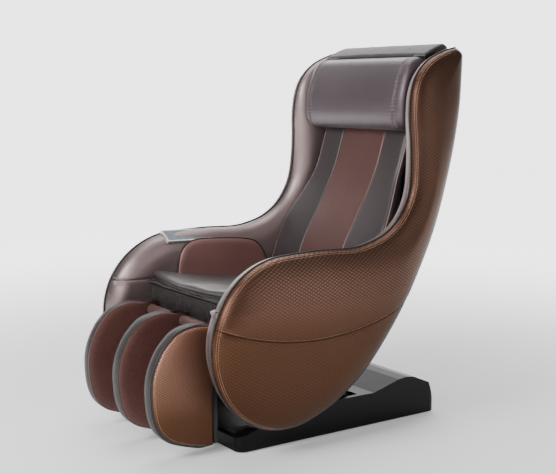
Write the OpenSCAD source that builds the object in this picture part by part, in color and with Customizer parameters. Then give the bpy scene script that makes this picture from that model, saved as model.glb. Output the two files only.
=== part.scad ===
// Compact sofa massage chair: a round-sided shell rides and tips on a low
// base, a three-walled leg rest hinges at its front, and a roller carriage
// climbs two toothed rails behind the back pad.
// +Z is up, the sitter faces -Y, and +X is on the sitter's left.

/* [Side shells] */
// Width across the two outer panels
total_w = 690; // [670:1:730]
// Depth of the crown of an outer panel
panel_t = 45; // [36:1:52]
// Radius of the round lower side
egg_r = 225; // [221:1:229]
// Height of its centre, where the shell tips
egg_z = 290; // [288:1:293]
// Place of its centre from front to back
egg_y = -128; // [-131:1:-126]
// Rise of the armrest above the round part
arm_rise = 4; // [0:1:10]
// Height of the wing tops
wing_top_z = 1053; // [1040:1:1070]
// Front edge of the wings
wing_front_y = 303; // [298:1:308]
// Rear edge of the wings
wing_rear_y = 493; // [489:1:498]
// Half width between the armrests
arm_x = 240; // [238:1:244]
// Half width between the wings at the head
wing_x = 231; // [229:1:233]
// Inward lean of the upper shell, per unit of height above the seam
wing_lean = 0.058; // [0.05:0.002:0.062]
// Height of the seam between upper and lower arm covers
seam_z = 390; // [380:1:400]
// Half of the gap left at a seam between two covers
seam_gap = 0.4; // [0.2:0.1:1]

/* [Seat and back] */
// Recline of the back pad from upright
back_a = 17.2; // [16.8:0.1:17.6]
// Front face of the back pad at its reference height
back_y = 248; // [246:1:250]
// Reference height on the back pad
back_z = 480; // [476:1:484]
// Half width of the back pad's place at the head
pad_top_x = 198; // [196:1:204]
// How far the back pad's lower end stands forward of its straight face
pad_bow = 38; // [32:1:40]
// How far its face is hollowed below the pillow
pad_hollow = 14; // [10:1:14]
// Thickness of the back pad
pad_t = 32; // [28:1:32]
// Length of the back pad above the reference
pad_up = 585; // [575:1:590]
// Length of the back pad below the reference
pad_down = 125; // [122:1:127]
// Width of the centre stripe of the back pad
stripe_w = 195; // [170:1:220]
// Height of the top of the seat frame
frame_z = 330; // [326:1:332]
// Thickness of the seat board
board_t = 15; // [12:1:18]
// Thickness of the seat cushion
cushion_t = 55; // [53:1:58]
// Thickness of the seat topper
topper_t = 20; // [17:1:23]
// Fall of the seat from its front to its rear
seat_drop = 38; // [30:1:40]
// Front edge of the seat frame
seat_front_y = -215; // [-217:1:-212]
// Thickness of an armrest pad
arm_pad_t = 8; // [6:1:10]
// Clearance between soft parts that touch
soft_gap = 0.3; // [0.2:0.05:0.5]

/* [Leg rest] */
// Height of the leg rest hinge
hinge_z = 318; // [316:1:320]
// Place of the leg rest hinge from front to back
hinge_y = -273; // [-274:1:-272]
// Depth of the leg rest walls
leg_depth = 182; // [170:1:186]
// Top of the leg rest walls
leg_top_z = 343; // [340:1:344]
// Bottom of the leg rest walls
leg_bottom_z = 19; // [15:1:26]
// Distance between the centres of neighbouring walls
leg_pitch = 182; // [178:1:183]
// Thickness of a leg rest wall
leg_wall = 45; // [38:1:46]
// Depth of the bronze face on an outer wall
leg_face_t = 7; // [5:1:8]
// Thickness of a calf pad
calf_t = 15; // [10:1:20]
// Diameter of the hinge shaft
hinge_d = 12; // [10:1:14]

/* [Base] */
// Width of the base cover
base_w = 500; // [490:1:504]
// Front of the base cover
base_front_y = -241; // [-246:1:-239]
// Rear of the base cover at the floor
base_rear_y = 442; // [436:1:446]
// Height of the front skirt
skirt_h = 42; // [38:1:48]
// Wall of the base cover
cover_t = 4; // [3:0.5:5]
// Height of the rubber feet
foot_h = 22; // [20:1:24]
// Diameter of a rubber foot
foot_d = 44; // [36:1:48]
// Height of a base rail
rail_h = 30; // [26:1:32]
// Width of a base rail
rail_w = 24; // [20:1:28]
// Distance from the middle to the centre of a base rail
rail_x = 200; // [196:1:202]
// Radius of a transport wheel
caster_r = 24; // [20:1:25]

/* [Carriage] */
// Radius of a carriage wheel
wheel_r = 15; // [13:1:16]
// Thickness of a carriage side plate
plate_t = 6; // [5:0.5:7]
// Inner face of a carriage side plate
carr_x = 224; // [223:0.5:226]
// Diameter of the recline pivot pins
pivot_d = 20; // [16:1:24]
// Diameter of the carriage axles
axle_d = 10; // [8:1:12]
// Radial running clearance of pins and axles
run_gap = 0.05; // [0.03:0.01:0.1]

/* [Massage mechanism] */
// Module of the rack and pinion teeth
gear_m = 2; // [1.8:0.1:2.1]
// Teeth on a pinion
gear_z = 18; // [17:1:19]
// Play between rack and pinion teeth
backlash = 0.15; // [0.1:0.05:0.3]
// Height of the roller carriage above the reference
mech_u = 140; // [134:1:146]
// Radius of a massage roller
roller_r = 24; // [20:1:24]
// Width of a massage roller
roller_w = 28; // [22:1:30]
// Distance from the kneading shaft to a roller along the back
roller_reach = 62; // [56:1:64]

/* [Hidden] */
$fn = 48;

// ---- shared functions ----
function mix(a, b, t) = a + (b - a) * t;
function clamp(x, a, b) = max(a, min(b, x));
function smooth(t) = let (c = clamp(t, 0, 1)) c * c * (3 - 2 * c);
// Rise of a padded edge: 0 at the edge and 1 where the face is flat
function crown(u, p = 2.2) = let (c = clamp(u, 0, 1))
    pow(1 - pow(1 - c, p), 1 / p);
// Smooth curve through the points P, from the second to the last but one
function curve(P, s) = let (n = len(P) - 3, x = clamp(s, 0, 1) * n,
    i = min(n - 1, floor(x)), t = x - i,
    a = P[i], b = P[i + 1], c = P[i + 2], d = P[i + 3])
    0.5 * (2 * b + (c - a) * t + (2 * a - 5 * b + 4 * c - d) * t * t
    + (3 * b - a - 3 * c + d) * t * t * t);
function closed_ends(P) = concat([2 * P[0] - P[1]], P,
    [2 * P[len(P) - 1] - P[len(P) - 2]]);
function steps(n) = [for (i = [0:n]) i / n];

// ---- places that several pieces share ----
// Every place from front to back is measured from the chair's working datum,
// and the finished pieces stand with the middle of the chair's depth at 0
middle_y = 12;
module placed() {
    translate([0, -middle_y, 0]) children();
}
panel_x = total_w / 2 - panel_t;
low_x = base_w / 2 + 7;
arm_z = egg_z + egg_r + arm_rise;
board_z = frame_z + board_t;
cushion_z = board_z + soft_gap + cushion_t;
topper_z = cushion_z + soft_gap + topper_t;
seat_hw = arm_x - arm_pad_t - 0.5;
egg_low = egg_z - egg_r;

// Point on the round lower side at an angle
function egg(a) = [egg_y + egg_r * cos(a), egg_z + egg_r * sin(a)];
// Front edge of the shell, from the top of the round part to the wing top
function arm_pt(f, g) = [mix(egg_y, wing_front_y, f),
    mix(arm_z, wing_top_z, g)];
function head_pt(f, g) = [mix(wing_front_y, wing_rear_y, f),
    mix(arm_z, wing_top_z, g)];
front_pts = [egg(104), egg(92),
    arm_pt(0.253, 0), arm_pt(0.494, -0.005), arm_pt(0.645, 0.015),
    arm_pt(0.761, 0.049), arm_pt(0.86, 0.104), arm_pt(0.934, 0.18),
    arm_pt(0.982, 0.27), arm_pt(1, 0.385), arm_pt(1.002, 0.51),
    head_pt(0.01, 0.63), head_pt(0.06, 0.745), head_pt(0.185, 0.835),
    head_pt(0.41, 0.91), head_pt(0.68, 0.963), head_pt(0.92, 0.994),
    head_pt(1.07, 1.006)];
// Rear edge of the shell, from the bottom of the round part to the top
function rear_pt(f, g) = [mix(egg_y, wing_rear_y, f),
    mix(egg_low, wing_top_z, g)];
rear_pts = [egg(256), egg(272),
    rear_pt(0.11, 0.012), rear_pt(0.256, 0.051), rear_pt(0.412, 0.125),
    rear_pt(0.56, 0.234), rear_pt(0.695, 0.362), rear_pt(0.808, 0.493),
    rear_pt(0.903, 0.653), rear_pt(0.968, 0.805), rear_pt(0.993, 0.926),
    rear_pt(1, 0.985), rear_pt(0.996, 1.04)];

// Half width of the space between the shells at a height
function inner_x(z) = z < 200 ? low_x
    : z < 300 ? mix(low_x, arm_x, smooth((z - 200) / 100))
    : mix(arm_x, wing_x, smooth((z - arm_z) / 200));

// Half width of the plane between a shell and its covers at a height
function shell_x(z) = panel_x - wing_lean * (z - seam_z);

// Place of the back's own frame: y runs back through the pad, z up it
module on_back() {
    translate([0, back_y, back_z]) rotate([-back_a, 0, 0]) children();
}
function back_pt(x, n, u) = [x,
    back_y + n * cos(back_a) + u * sin(back_a),
    back_z - n * sin(back_a) + u * cos(back_a)];

// Solid between two matching grids of points
module slab(F, G) {
    r = len(F);
    c = len(F[0]);
    N = r * c;
    faces = concat(
        [for (i = [0:r - 2]) for (j = [0:c - 2]) for (k = [0, 1])
            k == 0 ? [i * c + j, i * c + j + 1, (i + 1) * c + j + 1]
            : [i * c + j, (i + 1) * c + j + 1, (i + 1) * c + j]],
        [for (i = [0:r - 2]) for (j = [0:c - 2]) for (k = [0, 1])
            k == 0 ? [N + i * c + j, N + (i + 1) * c + j + 1, N + i * c + j + 1]
            : [N + i * c + j, N + (i + 1) * c + j, N + (i + 1) * c + j + 1]],
        [for (i = [0:r - 2]) for (k = [0, 1])
            k == 0 ? [i * c, (i + 1) * c, N + (i + 1) * c]
            : [i * c, N + (i + 1) * c, N + i * c]],
        [for (i = [0:r - 2]) for (k = [0, 1])
            k == 0 ? [i * c + c - 1, N + (i + 1) * c + c - 1, (i + 1) * c + c - 1]
            : [i * c + c - 1, N + i * c + c - 1, N + (i + 1) * c + c - 1]],
        [for (j = [0:c - 2]) for (k = [0, 1])
            k == 0 ? [j, N + j + 1, j + 1] : [j, N + j, N + j + 1]],
        [for (j = [0:c - 2]) let (b = (r - 1) * c) for (k = [0, 1])
            k == 0 ? [b + j, b + j + 1, N + b + j + 1]
            : [b + j, N + b + j + 1, N + b + j]]);
    polyhedron(concat([for (row = F) each row], [for (row = G) each row]),
        faces);
}

// Rows of points across a shape between two edges A and B, drawn in by K
function strip_rows(A, B, K, dA, dB) = [for (i = [0:len(A) - 1])
    let (a = A[i], b = B[i], w = norm(b - a), v = (b - a) / w,
        qa = min(dA, 0.47 * w), qb = min(dB, 0.47 * w))
    concat([for (k = K) [a + v * k * qa, k * qa / dA]],
        [[(a + b) / 2, 1]],
        [for (j = [len(K) - 1:-1:0]) [b - v * K[j] * qb, K[j] * qb / dB]])];

// Padded panel: flat at x0, rising to the height that rise(point) gives
module strip(A, B, x0, edge, rise, K, dA, dB, dS, lean = 0) {
    R = strip_rows(A, B, K, dA, dB);
    n = len(A) - 1;
    m = len(R[0]) - 1;
    M = [for (i = [0:n]) (A[i] + B[i]) / 2];
    E = [for (i = [0:n]) crown(min(norm(M[i] - M[0]),
        norm(M[i] - M[n])) / dS)];
    top = [for (i = [0:n]) for (j = [0:m]) let (q = R[i][j])
        [x0 + edge + (rise(q[0]) - edge) * crown(q[1]) * E[i]
        + lean * (q[0][1] - seam_z), q[0][0], q[0][1]]];
    N = (n + 1) * (m + 1);
    low = [for (P = [A, B]) for (p = P)
        [x0 + lean * (p[1] - seam_z), p[0], p[1]]];
    w = m + 1;
    faces = concat(
        [for (i = [0:n - 1]) for (j = [0:m - 1]) for (k = [0, 1])
            k == 0 ? [i * w + j, i * w + j + 1, (i + 1) * w + j + 1]
            : [i * w + j, (i + 1) * w + j + 1, (i + 1) * w + j]],
        [for (i = [0:n - 1]) [i * w, (i + 1) * w, N + i + 1, N + i]],
        [for (i = [0:n - 1]) [(i + 1) * w + m, i * w + m,
            N + n + 1 + i, N + n + 2 + i]],
        [for (j = [0:m - 1]) [j + 1, j, N]], [[m, N, N + n + 1]],
        [for (j = [0:m - 1]) [n * w + j, n * w + j + 1, N + n]],
        [[n * w + m, N + 2 * n + 1, N + n]],
        [for (i = [0:n - 1]) [N + i, N + i + 1, N + n + 2 + i, N + n + 1 + i]]);
    turned = cross(B[0] - A[0], M[1] - M[0]) < 0;
    polyhedron(concat(top, low), turned ? faces
        : [for (f = faces) [for (k = [len(f) - 1:-1:0]) f[k]]]);
}

// Same on the two sides of the chair
module mirrored(side) {
    if (side > 0) children();
    else mirror([1, 0, 0]) children();
}

// ---- side shells ----
soft_edge = [0, 0.07, 0.22, 0.5, 1];
module side_panel(side) {
    n = 38;
    A = [for (s = steps(n)) s < 0.34 ? egg(mix(176, 92, s / 0.34))
        : curve(front_pts, (s - 0.34) / 0.66)];
    B = [for (s = steps(n)) s < 0.34 ? egg(mix(184, 272, s / 0.34))
        : curve(rear_pts, (s - 0.34) / 0.66)];
    // Upright below the seam of the arm covers, and leaning in above it
    color("#7a5238") mirrored(side) for (up = [0, 1]) difference() {
        strip(A, B, panel_x + soft_gap, 5, function(p) panel_t - soft_gap,
            soft_edge, 95, 95, 40, -wing_lean * up);
        translate([0, -600, up == 1 ? seam_z - 1000.5 : seam_z + 0.5])
            cube([600, 1200, 1000]);
    }
}

arm_edge = [0, 0.1, 0.35, 1];
module arm_upper(side) {
    n = 32;
    a0 = 180 - asin((seam_z + seam_gap + 3 - egg_z) / egg_r);
    zs = seam_z + seam_gap;
    A = [for (s = steps(n)) s < 0.3 ? egg(mix(a0, 92, s / 0.3))
        : curve(front_pts, (s - 0.3) / 0.7)];
    f = egg(a0 + 0.8)[0] + 4;
    r = rear_pts[6][0] - 18;
    low_pts = closed_ends([[f, zs], [mix(f, r, 0.25), zs], [mix(f, r, 0.5), zs],
        [mix(f, r, 0.72), zs], [mix(f, r, 0.88), zs], [mix(f, r, 0.97), zs + 6],
        rear_pts[6] + [6, 26], rear_pts[7], rear_pts[8], rear_pts[9],
        rear_pts[10], rear_pts[11]]);
    B = [for (s = steps(n)) curve(low_pts, s)];
    color("#4a3c3c") difference() {
        mirrored(side) translate([panel_x, 0, 0]) mirror([1, 0, 0])
            strip(A, B, 0, 6,
            function(p) shell_x(p[1]) - inner_x(p[1]), arm_edge,
            mix(46, 70, smooth((wing_top_z - 700) / 400)), 14, 26,
            wing_lean);
        if (side < 0) panel_place() translate([0, 0, 10 - panel_seat])
            cube([panel_w + 2 * soft_gap, panel_l + 2 * soft_gap, 20],
            center = true);
    }
}

module arm_lower(side) {
    n = 26;
    zs = seam_z - seam_gap;
    a0 = 180 - asin((zs - 10 - egg_z) / egg_r);
    f = egg(a0)[0] + 5;
    r = rear_pts[6][0] - 24;
    A = [for (s = steps(n)) [mix(f, r, s), zs]];
    low_pts = concat([for (a = [a0 - 12:12:a0 + 113]) egg(a)],
        [rear_pts[2], rear_pts[3], rear_pts[4], rear_pts[5],
        mix(rear_pts[5], rear_pts[6], 0.72), rear_pts[6]]);
    B = [for (s = steps(n)) curve(low_pts, s)];
    color("#3b3030") mirrored(side) translate([panel_x, 0, 0])
        mirror([1, 0, 0]) strip(A, B, 0, 6,
        function(p) panel_x - inner_x(p[1]), arm_edge, 12, 40, 20);
}

// Small pad on the inner face of an armrest
module arm_pad(side) {
    y0 = egg_y - 14;
    y1 = egg_y + 284;
    z0 = board_z + 8;
    n = 14;
    top = closed_ends([[y0, z0 + 20], [y0 + 1, z0 + 62], [y0 + 12, z0 + 104],
        [y0 + 34, z0 + 130], [y0 + 72, z0 + 140], [y0 + 140, z0 + 138],
        [y0 + 215, z0 + 132], [y0 + 268, z0 + 120], [y0 + 297, z0 + 92],
        [y1 + 18, z0 + 50], [y1 + 18, z0 + 16]]);
    A = [for (s = steps(n)) curve(top, s)];
    B = [for (s = steps(n)) [mix(y0 + 8, y1, s), z0]];
    color("#6b3d38") mirrored(side) translate([arm_x - soft_gap, 0, 0])
        mirror([1, 0, 0]) strip(A, B, 0, 2.5,
        function(p) arm_pad_t - soft_gap, [0, 0.3, 1], 22, 14, 18);
}

// ---- seat ----
module seat_cushion() {
    cols = [-1, -0.97, -0.85, -0.45, 0, 0.45, 0.85, 0.97, 1];
    front = seat_front_y - 23;
    rear = back_y - 57 - pad_bow;
    F = [for (v = [0, 0.02, 0.1, 0.3, 0.6, 0.9, 1]) [for (c = cols)
        [c * seat_hw, mix(front, rear + 16, v) + (v == 0 ? 1.5 : 0),
        cushion_z - seat_drop * v
        - (1 - crown(min((1 - abs(c)) / 0.12, v / 0.08) + 0.25)) * 14]]];
    G = [for (v = [0, 0.02, 0.1, 0.3, 0.6, 0.9, 1]) [for (c = cols)
        [c * seat_hw, mix(front, rear, v), board_z + soft_gap]]];
    color("#3a3436") slab(G, F);
}

// Thin top layer that overhangs and droops at the front
module seat_topper() {
    cols = [-1, -0.97, -0.86, -0.7, -0.45, -0.2, 0, 0.2, 0.45, 0.7, 0.86,
        0.97, 1];
    rows = [0, 0.03, 0.08, 0.25, 0.5, 0.75, 0.93, 1];
    rear = back_y - 39 - pad_bow;
    function fy(c) = seat_front_y - 10 - 33 * pow(cos(90 * c), 0.8);
    function dip(c, v) = -7 * pow(cos(90 * c), 1) * (1 - smooth(v * 1.6));
    F = [for (v = rows) [for (c = cols) [c * seat_hw,
        mix(fy(c), rear, v), topper_z + dip(c, v)
        - (1 - crown(min((1 - abs(c)) / 0.1, v / 0.06,
        (1 - v) / 0.06) + 0.2)) * 11 - 6 * smooth(v) - seat_drop * v]]];
    G = [for (v = rows) [for (c = cols) [c * (seat_hw - 1),
        mix(fy(c) + 2, rear, v), cushion_z + soft_gap - seat_drop * max(0,
        (mix(fy(c) + 2, rear, v) - seat_front_y + 23) / (rear - 2 - seat_front_y + 23))
        + (v == 0 && fy(c) < seat_front_y - 30 ? dip(c, v) - 2 : 0)]]];
    color("#5a5456") slab(G, F);
}

// Soft cloth that hangs in folds below the seat's front edge
module seat_valance() {
    k = 22;
    y0 = seat_front_y - 23 - soft_gap;
    rows = [0, 0.25, 0.6, 1];
    function fold(c, v) = 3.2 * v * (1.1 - v * 0.6)
        * sin(c * 1260 + 40 * sin(c * 400)) * (1 - pow(abs(c), 6));
    F = [for (v = rows) [for (i = [-k / 2:k / 2]) let (c = 2 * i / k)
        [c * (seat_hw - 2), y0 - 4.5 + (v > 0.1 ? 2.2 : 0) + fold(c, v) * 0.6,
        mix(cushion_z - 22, hinge_z + 16, v) - 5 * v * cos(90 * c)]]];
    G = [for (row = F) [for (p = row) p + [0, 3.4, 0]]];
    color("#2e2829") slab(F, [for (row = G) [for (p = row)
        [p[0], min(p[1], y0), p[2]]]]);
}

// ---- back ----
function pad_hw(u) = mix(arm_x, pad_top_x,
    smooth((back_z + u * cos(back_a) - arm_z) / 200)) - 2.2;
// Thickness of the pad where it passes over the head tube
pad_thin = 16;
function pad_face(u) = (mix(-pad_bow, pad_hollow, smooth((u + 60) / 330)))
    * (1 - smooth((u - 390) / 50));
module back_pad() {
    h = stripe_w / 2;
    us = [-pad_down, -pad_down + 12, -60, -10, 40, 95, 160, 230, 300, 370, 450,
        530, pad_up - 8, pad_up];
    function cols(u) = let (w = pad_hw(u))
        [-w, -w + 3, -w + 10, -mix(w, h, 0.35), -mix(w, h, 0.75), -h - 4, -h,
        -h + 4, -h * 0.55, 0, h * 0.55, h - 4, h, h + 4, mix(w, h, 0.75),
        mix(w, h, 0.35), w - 10, w - 3, w];
    // Depth of the sewn channels beside the stripe and of the soft edges
    function sink(x, u) = let (w = pad_hw(u),
        e = w - abs(x), g = abs(abs(x) - h),
        t = min(u + pad_down, pad_up - u))
        14 * (1 - crown(e / 14)) + 5 * (1 - crown(g / 5)) * (g < 5 ? 1 : 0)
        + (u > 0 ? 8 : 12) * (1 - crown(t / 14));
    function rear(u) = mix(pad_t, pad_thin, smooth((u - 450) / 110));
    F = [for (u = us) [for (x = cols(u))
        back_pt(x, min(sink(x, u) + pad_face(u), rear(u) - 3), u)]];
    G = [for (u = us) [for (x = cols(u)) back_pt(x, rear(u), u)]];
    color("#51474a") slab(G, F);
}

// Head pillow, a fat bolster in front of the top of the pad
module pillow() {
    prof = closed_ends([[-soft_gap, 358], [-22, 351], [-40, 358], [-54, 382],
        [-66, 425], [-70, 475], [-68, 515], [-60, 541], [-40, 557],
        [-18, 567], [-soft_gap, 572]]);
    k = 16;
    hw = wing_x - 0.6;
    xs = [-1, -0.985, -0.94, -0.86, -0.6, -0.25, 0, 0.25, 0.6, 0.86, 0.94,
        0.985, 1];
    F = [for (x = xs) let (e = crown((1 - abs(x)) / 0.16),
        q = mix(0.45, 1, e)) [for (s = steps(k))
        let (p = curve(prof, s), m = (p[0] + 30) / 1,
            wd = hw - 12 * smooth((p[0] + 50) / 45)) back_pt(x * wd,
            (p[0] + soft_gap) * q - soft_gap, 462 + (p[1] - 462) * mix(0.86, 1, e))]];
    G = [for (x = xs) let (e = crown((1 - abs(x)) / 0.16)) [for (s = steps(k))
        back_pt(x * (hw - 12), -soft_gap,
        462 + (mix(358, 572, s) - 462) * mix(0.86, 1, e))]];
    color("#4d4548") slab(F, G);
}

// Flap of the pillow that lies over the top of the back
module top_flap() {
    cols = [-1, -0.96, -0.5, 0, 0.5, 0.96, 1];
    a = back_pt(0, -18, 567);
    z1 = wing_top_z + 10;
    hw = wing_x - 2;
    F = [for (v = steps(5)) [for (c = cols) [c * hw,
        mix(a[1] - 5, wing_rear_y - 15, v),
        mix(a[2] + 10, z1, v) - 5 * (abs(c) > 0.99 ? 1 : 0)
        - 3 * c * c * (1 - v)]]];
    G = [for (v = steps(5)) [for (c = cols) [c * hw,
        mix(a[1] - 5, wing_rear_y - 15, v), mix(a[2] + 1.6, z1 - 14.6, v)]]];
    color("#453d40") slab(G, F);
}

// Moulded rear cover, a shallow tray whose rim meets the shells
module back_cover() {
    // Above its waist the profile, drawn for wings of one height, follows them
    waist = 479;
    drawn_top = 1053;
    function up(z) = mix(waist, wing_top_z, (z - waist) / (drawn_top - waist));
    line = closed_ends([[258, 268], [317, 330], [352, 385], [397, waist],
        [425, up(560)], [442, up(632)], [458, up(760)], [467, up(880)],
        [467, up(950)], [462, up(1006)], [451, up(1038)]]);
    edge = closed_ends([[226, 298], [242, 330], [270, 372], [318, waist],
        [346, up(545)], [376, up(632)], [408, up(745)], [428, up(880)],
        [436, up(950)], [438, up(1002)], [438, up(1033)]]);
    xs = [-1, -0.985, -0.95, -0.88, -0.7, -0.35, 0, 0.35, 0.7, 0.88, 0.95,
        0.985, 1];
    dy = wing_rear_y - 493;
    function pt(x, s, t) = let (a = curve(edge, s), b = curve(line, s),
        q = mix(a, b, pow(max(0, 1 - pow(abs(x), 24)), 0.5)),
        w = inner_x(a[1]) - soft_gap - t) [x * w, q[0] + dy - t, q[1]];
    F = [for (s = steps(14)) [for (x = xs) pt(x, s, 0)]];
    G = [for (s = steps(14)) [for (x = xs) pt(x, s, cover_t)]];
    color("#2b2829") slab(F, G);
}

// Welded back frame: two uprights and a head tube
up_in = 176;
up_w = 12;
up_d = 30;
up_top = 490;
module back_frame() {
    color("#303234") difference() {
        on_back() union() {
            for (s = [-1, 1])
                translate([s > 0 ? up_in : -up_in - up_w, pad_t + soft_gap, -170])
                cube([up_w, up_d, 170 + up_top]);
            difference() {
                translate([-up_in - up_w, pad_t + soft_gap, up_top - 20])
                    cube([2 * (up_in + up_w), up_d - 14, 24]);
                for (x = [-130, -70, 0, 70, 130])
                    translate([x, pad_t - 5, up_top - 8]) rotate([-90, 0, 0])
                    cylinder(d = 12, h = up_d + 20);
            }
            for (s = [-1, 1]) translate([s * 90 - 86, pad_t + 4, 440])
                cube([172, 4, 18]);
        }
        translate([-300, 0, frame_z - 200]) cube([600, 600, 200]);
    }
}

// Guide rail: a channel with a toothed rack on its inner lip
ch_n = 51;
ch_d = 40;
ch_t = 3;
rack_base = ch_n + ch_t + 2;
pitch_n = rack_base + gear_m * 2.25 - gear_m;
shaft_n = pitch_n + gear_m * gear_z / 2 + backlash;
shaft_u = -86;
rail_lo = -120;
rail_hi = 400;
module rack_2d() {
    p = PI * gear_m;
    a = tan(20);
    top = p / 4 - gear_m * a;
    foot = p / 4 + 1.25 * gear_m * a;
    k = floor((rail_hi - rail_lo - 30) / p / 2);
    c = mech_u + shaft_u;
    n0 = ceil((rail_lo + 12 - c) / p);
    n1 = floor((rail_hi - 12 - c) / p);
    union() {
        translate([rack_base - 2.2, rail_lo])
            square([2.2, rail_hi - rail_lo]);
        for (i = [n0:n1]) translate([rack_base - 0.01, c + (i + 0.5) * p])
            polygon([[0, -foot], [2.25 * gear_m, -top],
            [2.25 * gear_m, top], [0, foot]]);
    }
}
module rail(side) {
    color("#8d9092") on_back() mirrored(side) union() {
        translate([up_in - ch_t - 1, ch_n, rail_lo])
            cube([ch_t + 1, ch_d, rail_hi - rail_lo]);
        translate([up_in - 30, ch_n, rail_lo])
            cube([30, ch_t, rail_hi - rail_lo]);
        translate([up_in - 18, ch_n + ch_d - ch_t, rail_lo])
            cube([18, ch_t, rail_hi - rail_lo]);
        translate([up_in - 20, 0, 0]) rotate([0, -90, 0])
            linear_extrude(10) rotate(90) mirror([0, 1]) rack_2d();
    }
}

// ---- massage mechanism ----
mp_x = 138;
mp_t = 6;
knead_n = 84;
knead_u = 12;
knead_d = 16;
roll_n = 66;
roll_x = 76;
arm_px = 92;
arm_pt_t = 8;
roll_d = 10;
module at_mech() { on_back() translate([0, 0, mech_u]) children(); }
// Cylinder along X between two places
module bar(x0, x1, r) {
    translate([x0, 0, 0]) rotate([0, 90, 0]) cylinder(r = r, h = x1 - x0);
}
module mech_frame() {
    color("#9a9c9e") at_mech() union() {
        for (s = [-1, 1]) difference() {
            translate([s > 0 ? mp_x : -mp_x - mp_t, ch_n + 2, -100])
                cube([mp_t, 45, 168]);
            translate([0, shaft_n, shaft_u]) bar(-200, 200, 6 + run_gap);
            translate([s * 141, ch_n + 24, 40]) bar(-10, 10, 10);
        }
        for (p = [[ch_n + 9, knead_u], [ch_n + 43, shaft_u + 11]])
            translate([0, p[0], p[1]]) bar(-mp_x - 1, mp_x + 1, 5);
        translate([0, knead_n, knead_u]) bar(-mp_x - 1, mp_x + 1, knead_d / 2);
    }
}
// Nylon blocks that run in the channels
module mech_sliders() {
    color("#d8d6cf") at_mech() for (s = [-1, 1]) for (u = [-42, 50])
        translate([s * (mp_x + mp_t) + (s > 0 ? 0 : -27),
            ch_n + ch_t + 0.4, u - 16]) difference() {
            cube([27.2 + (s > 0 ? 0 : -0.2), ch_d - 2 * ch_t - 0.8, 32]);
            translate([s > 0 ? -1 : 15, -1, -1])
                cube([13.2, 10, 34]);
        }
}
module mech_motor() {
    color("#2c2e30") at_mech() union() {
        translate([-40, ch_n + 8, knead_u + knead_d / 2 + 0.3])
            cube([80, 36, 34]);
        translate([0, ch_n + 26, knead_u + 23]) bar(-84, -38, 14);
        translate([0, ch_n + 26, knead_u + 23]) bar(38, 60, 12);
    }
}
module travel_motor() {
    color("#2c2e30") at_mech() difference() {
        translate([108, ch_n + 6, shaft_u - 22]) cube([30, 31, 40]);
        translate([0, shaft_n, shaft_u]) bar(0, 200, 6.6);
    }
}
// Involute tooth flank and pinion outline
function inv(r, t) = [r * (cos(t) + t * PI / 180 * sin(t)),
    r * (sin(t) - t * PI / 180 * cos(t))];
function turn(p, a) = [p[0] * cos(a) - p[1] * sin(a),
    p[0] * sin(a) + p[1] * cos(a)];
module pinion_2d() {
    rp = gear_m * gear_z / 2;
    rb = rp * cos(20);
    ra = rp + gear_m;
    rf = rp - 1.25 * gear_m;
    tp = tan(20) * 180 / PI - 20;
    half = 90 / gear_z + tp - 0.12;
    tm = sqrt(ra * ra / rb / rb - 1) * 180 / PI;
    pts = [for (i = [0:gear_z - 1]) let (a = 360 * i / gear_z) each concat(
        [turn([rf, 0], a - half * 0.95)],
        [for (k = [0:3]) turn(inv(rb, tm * k / 3), a - half)],
        [for (k = [3:-1:0]) let (q = inv(rb, tm * k / 3))
            turn([q[0], -q[1]], a + half)],
        [turn([rf, 0], a + half * 0.95)])];
    polygon(pts);
}
module travel_shaft() {
    color("#b9bbbd") at_mech() translate([0, shaft_n, shaft_u]) union() {
        bar(-156, 156, 6);
        for (s = [-1, 1]) translate([s * 151, 0, 0]) rotate([0, 90, 0])
            translate([0, 0, -4]) linear_extrude(8)
            rotate(-90) pinion_2d();
    }
}
module knead_arm(side) {
    dn = roll_n - knead_n;
    color("#c7c9cb") at_mech() mirrored(side)
        translate([0, knead_n, knead_u]) difference() {
        union() {
            bar(arm_px - 6, arm_px + arm_pt_t + 5, 15);
            translate([arm_px, 0, 0]) rotate([90, 0, 90])
                linear_extrude(arm_pt_t) union() {
                for (s = [-1, 1]) translate([dn, s * roller_reach])
                    circle(11);
                for (s = [-1, 1]) polygon([[-14, 0], [dn - 11, s * roller_reach],
                    [dn + 10, s * (roller_reach + 3)], [14, s * 4], [10, 0]]);
                circle(15);
            }
            for (s = [-1, 1]) translate([0, dn, s * roller_reach])
                bar(roll_x - roller_w / 2 - 4, arm_px + 1, roll_d / 2);
        }
        bar(0, 200, knead_d / 2 + run_gap);
    }
}
// Crowned rubber roller with a bore
module roller(side, up) {
    w = roller_w / 2;
    color("#3c3c3e") at_mech() mirrored(side)
        translate([roll_x, roll_n, knead_u + up * roller_reach])
        rotate([0, 90, 0]) rotate_extrude() difference() {
        intersection() {
            translate([0, -w]) square([roller_r, 2 * w]);
            translate([roller_r - 40, 0]) circle(40, $fn = 96);
        }
        translate([-1, -w - 1]) square([1 + roll_d / 2 + run_gap, 2 * w + 2]);
    }
}

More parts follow.
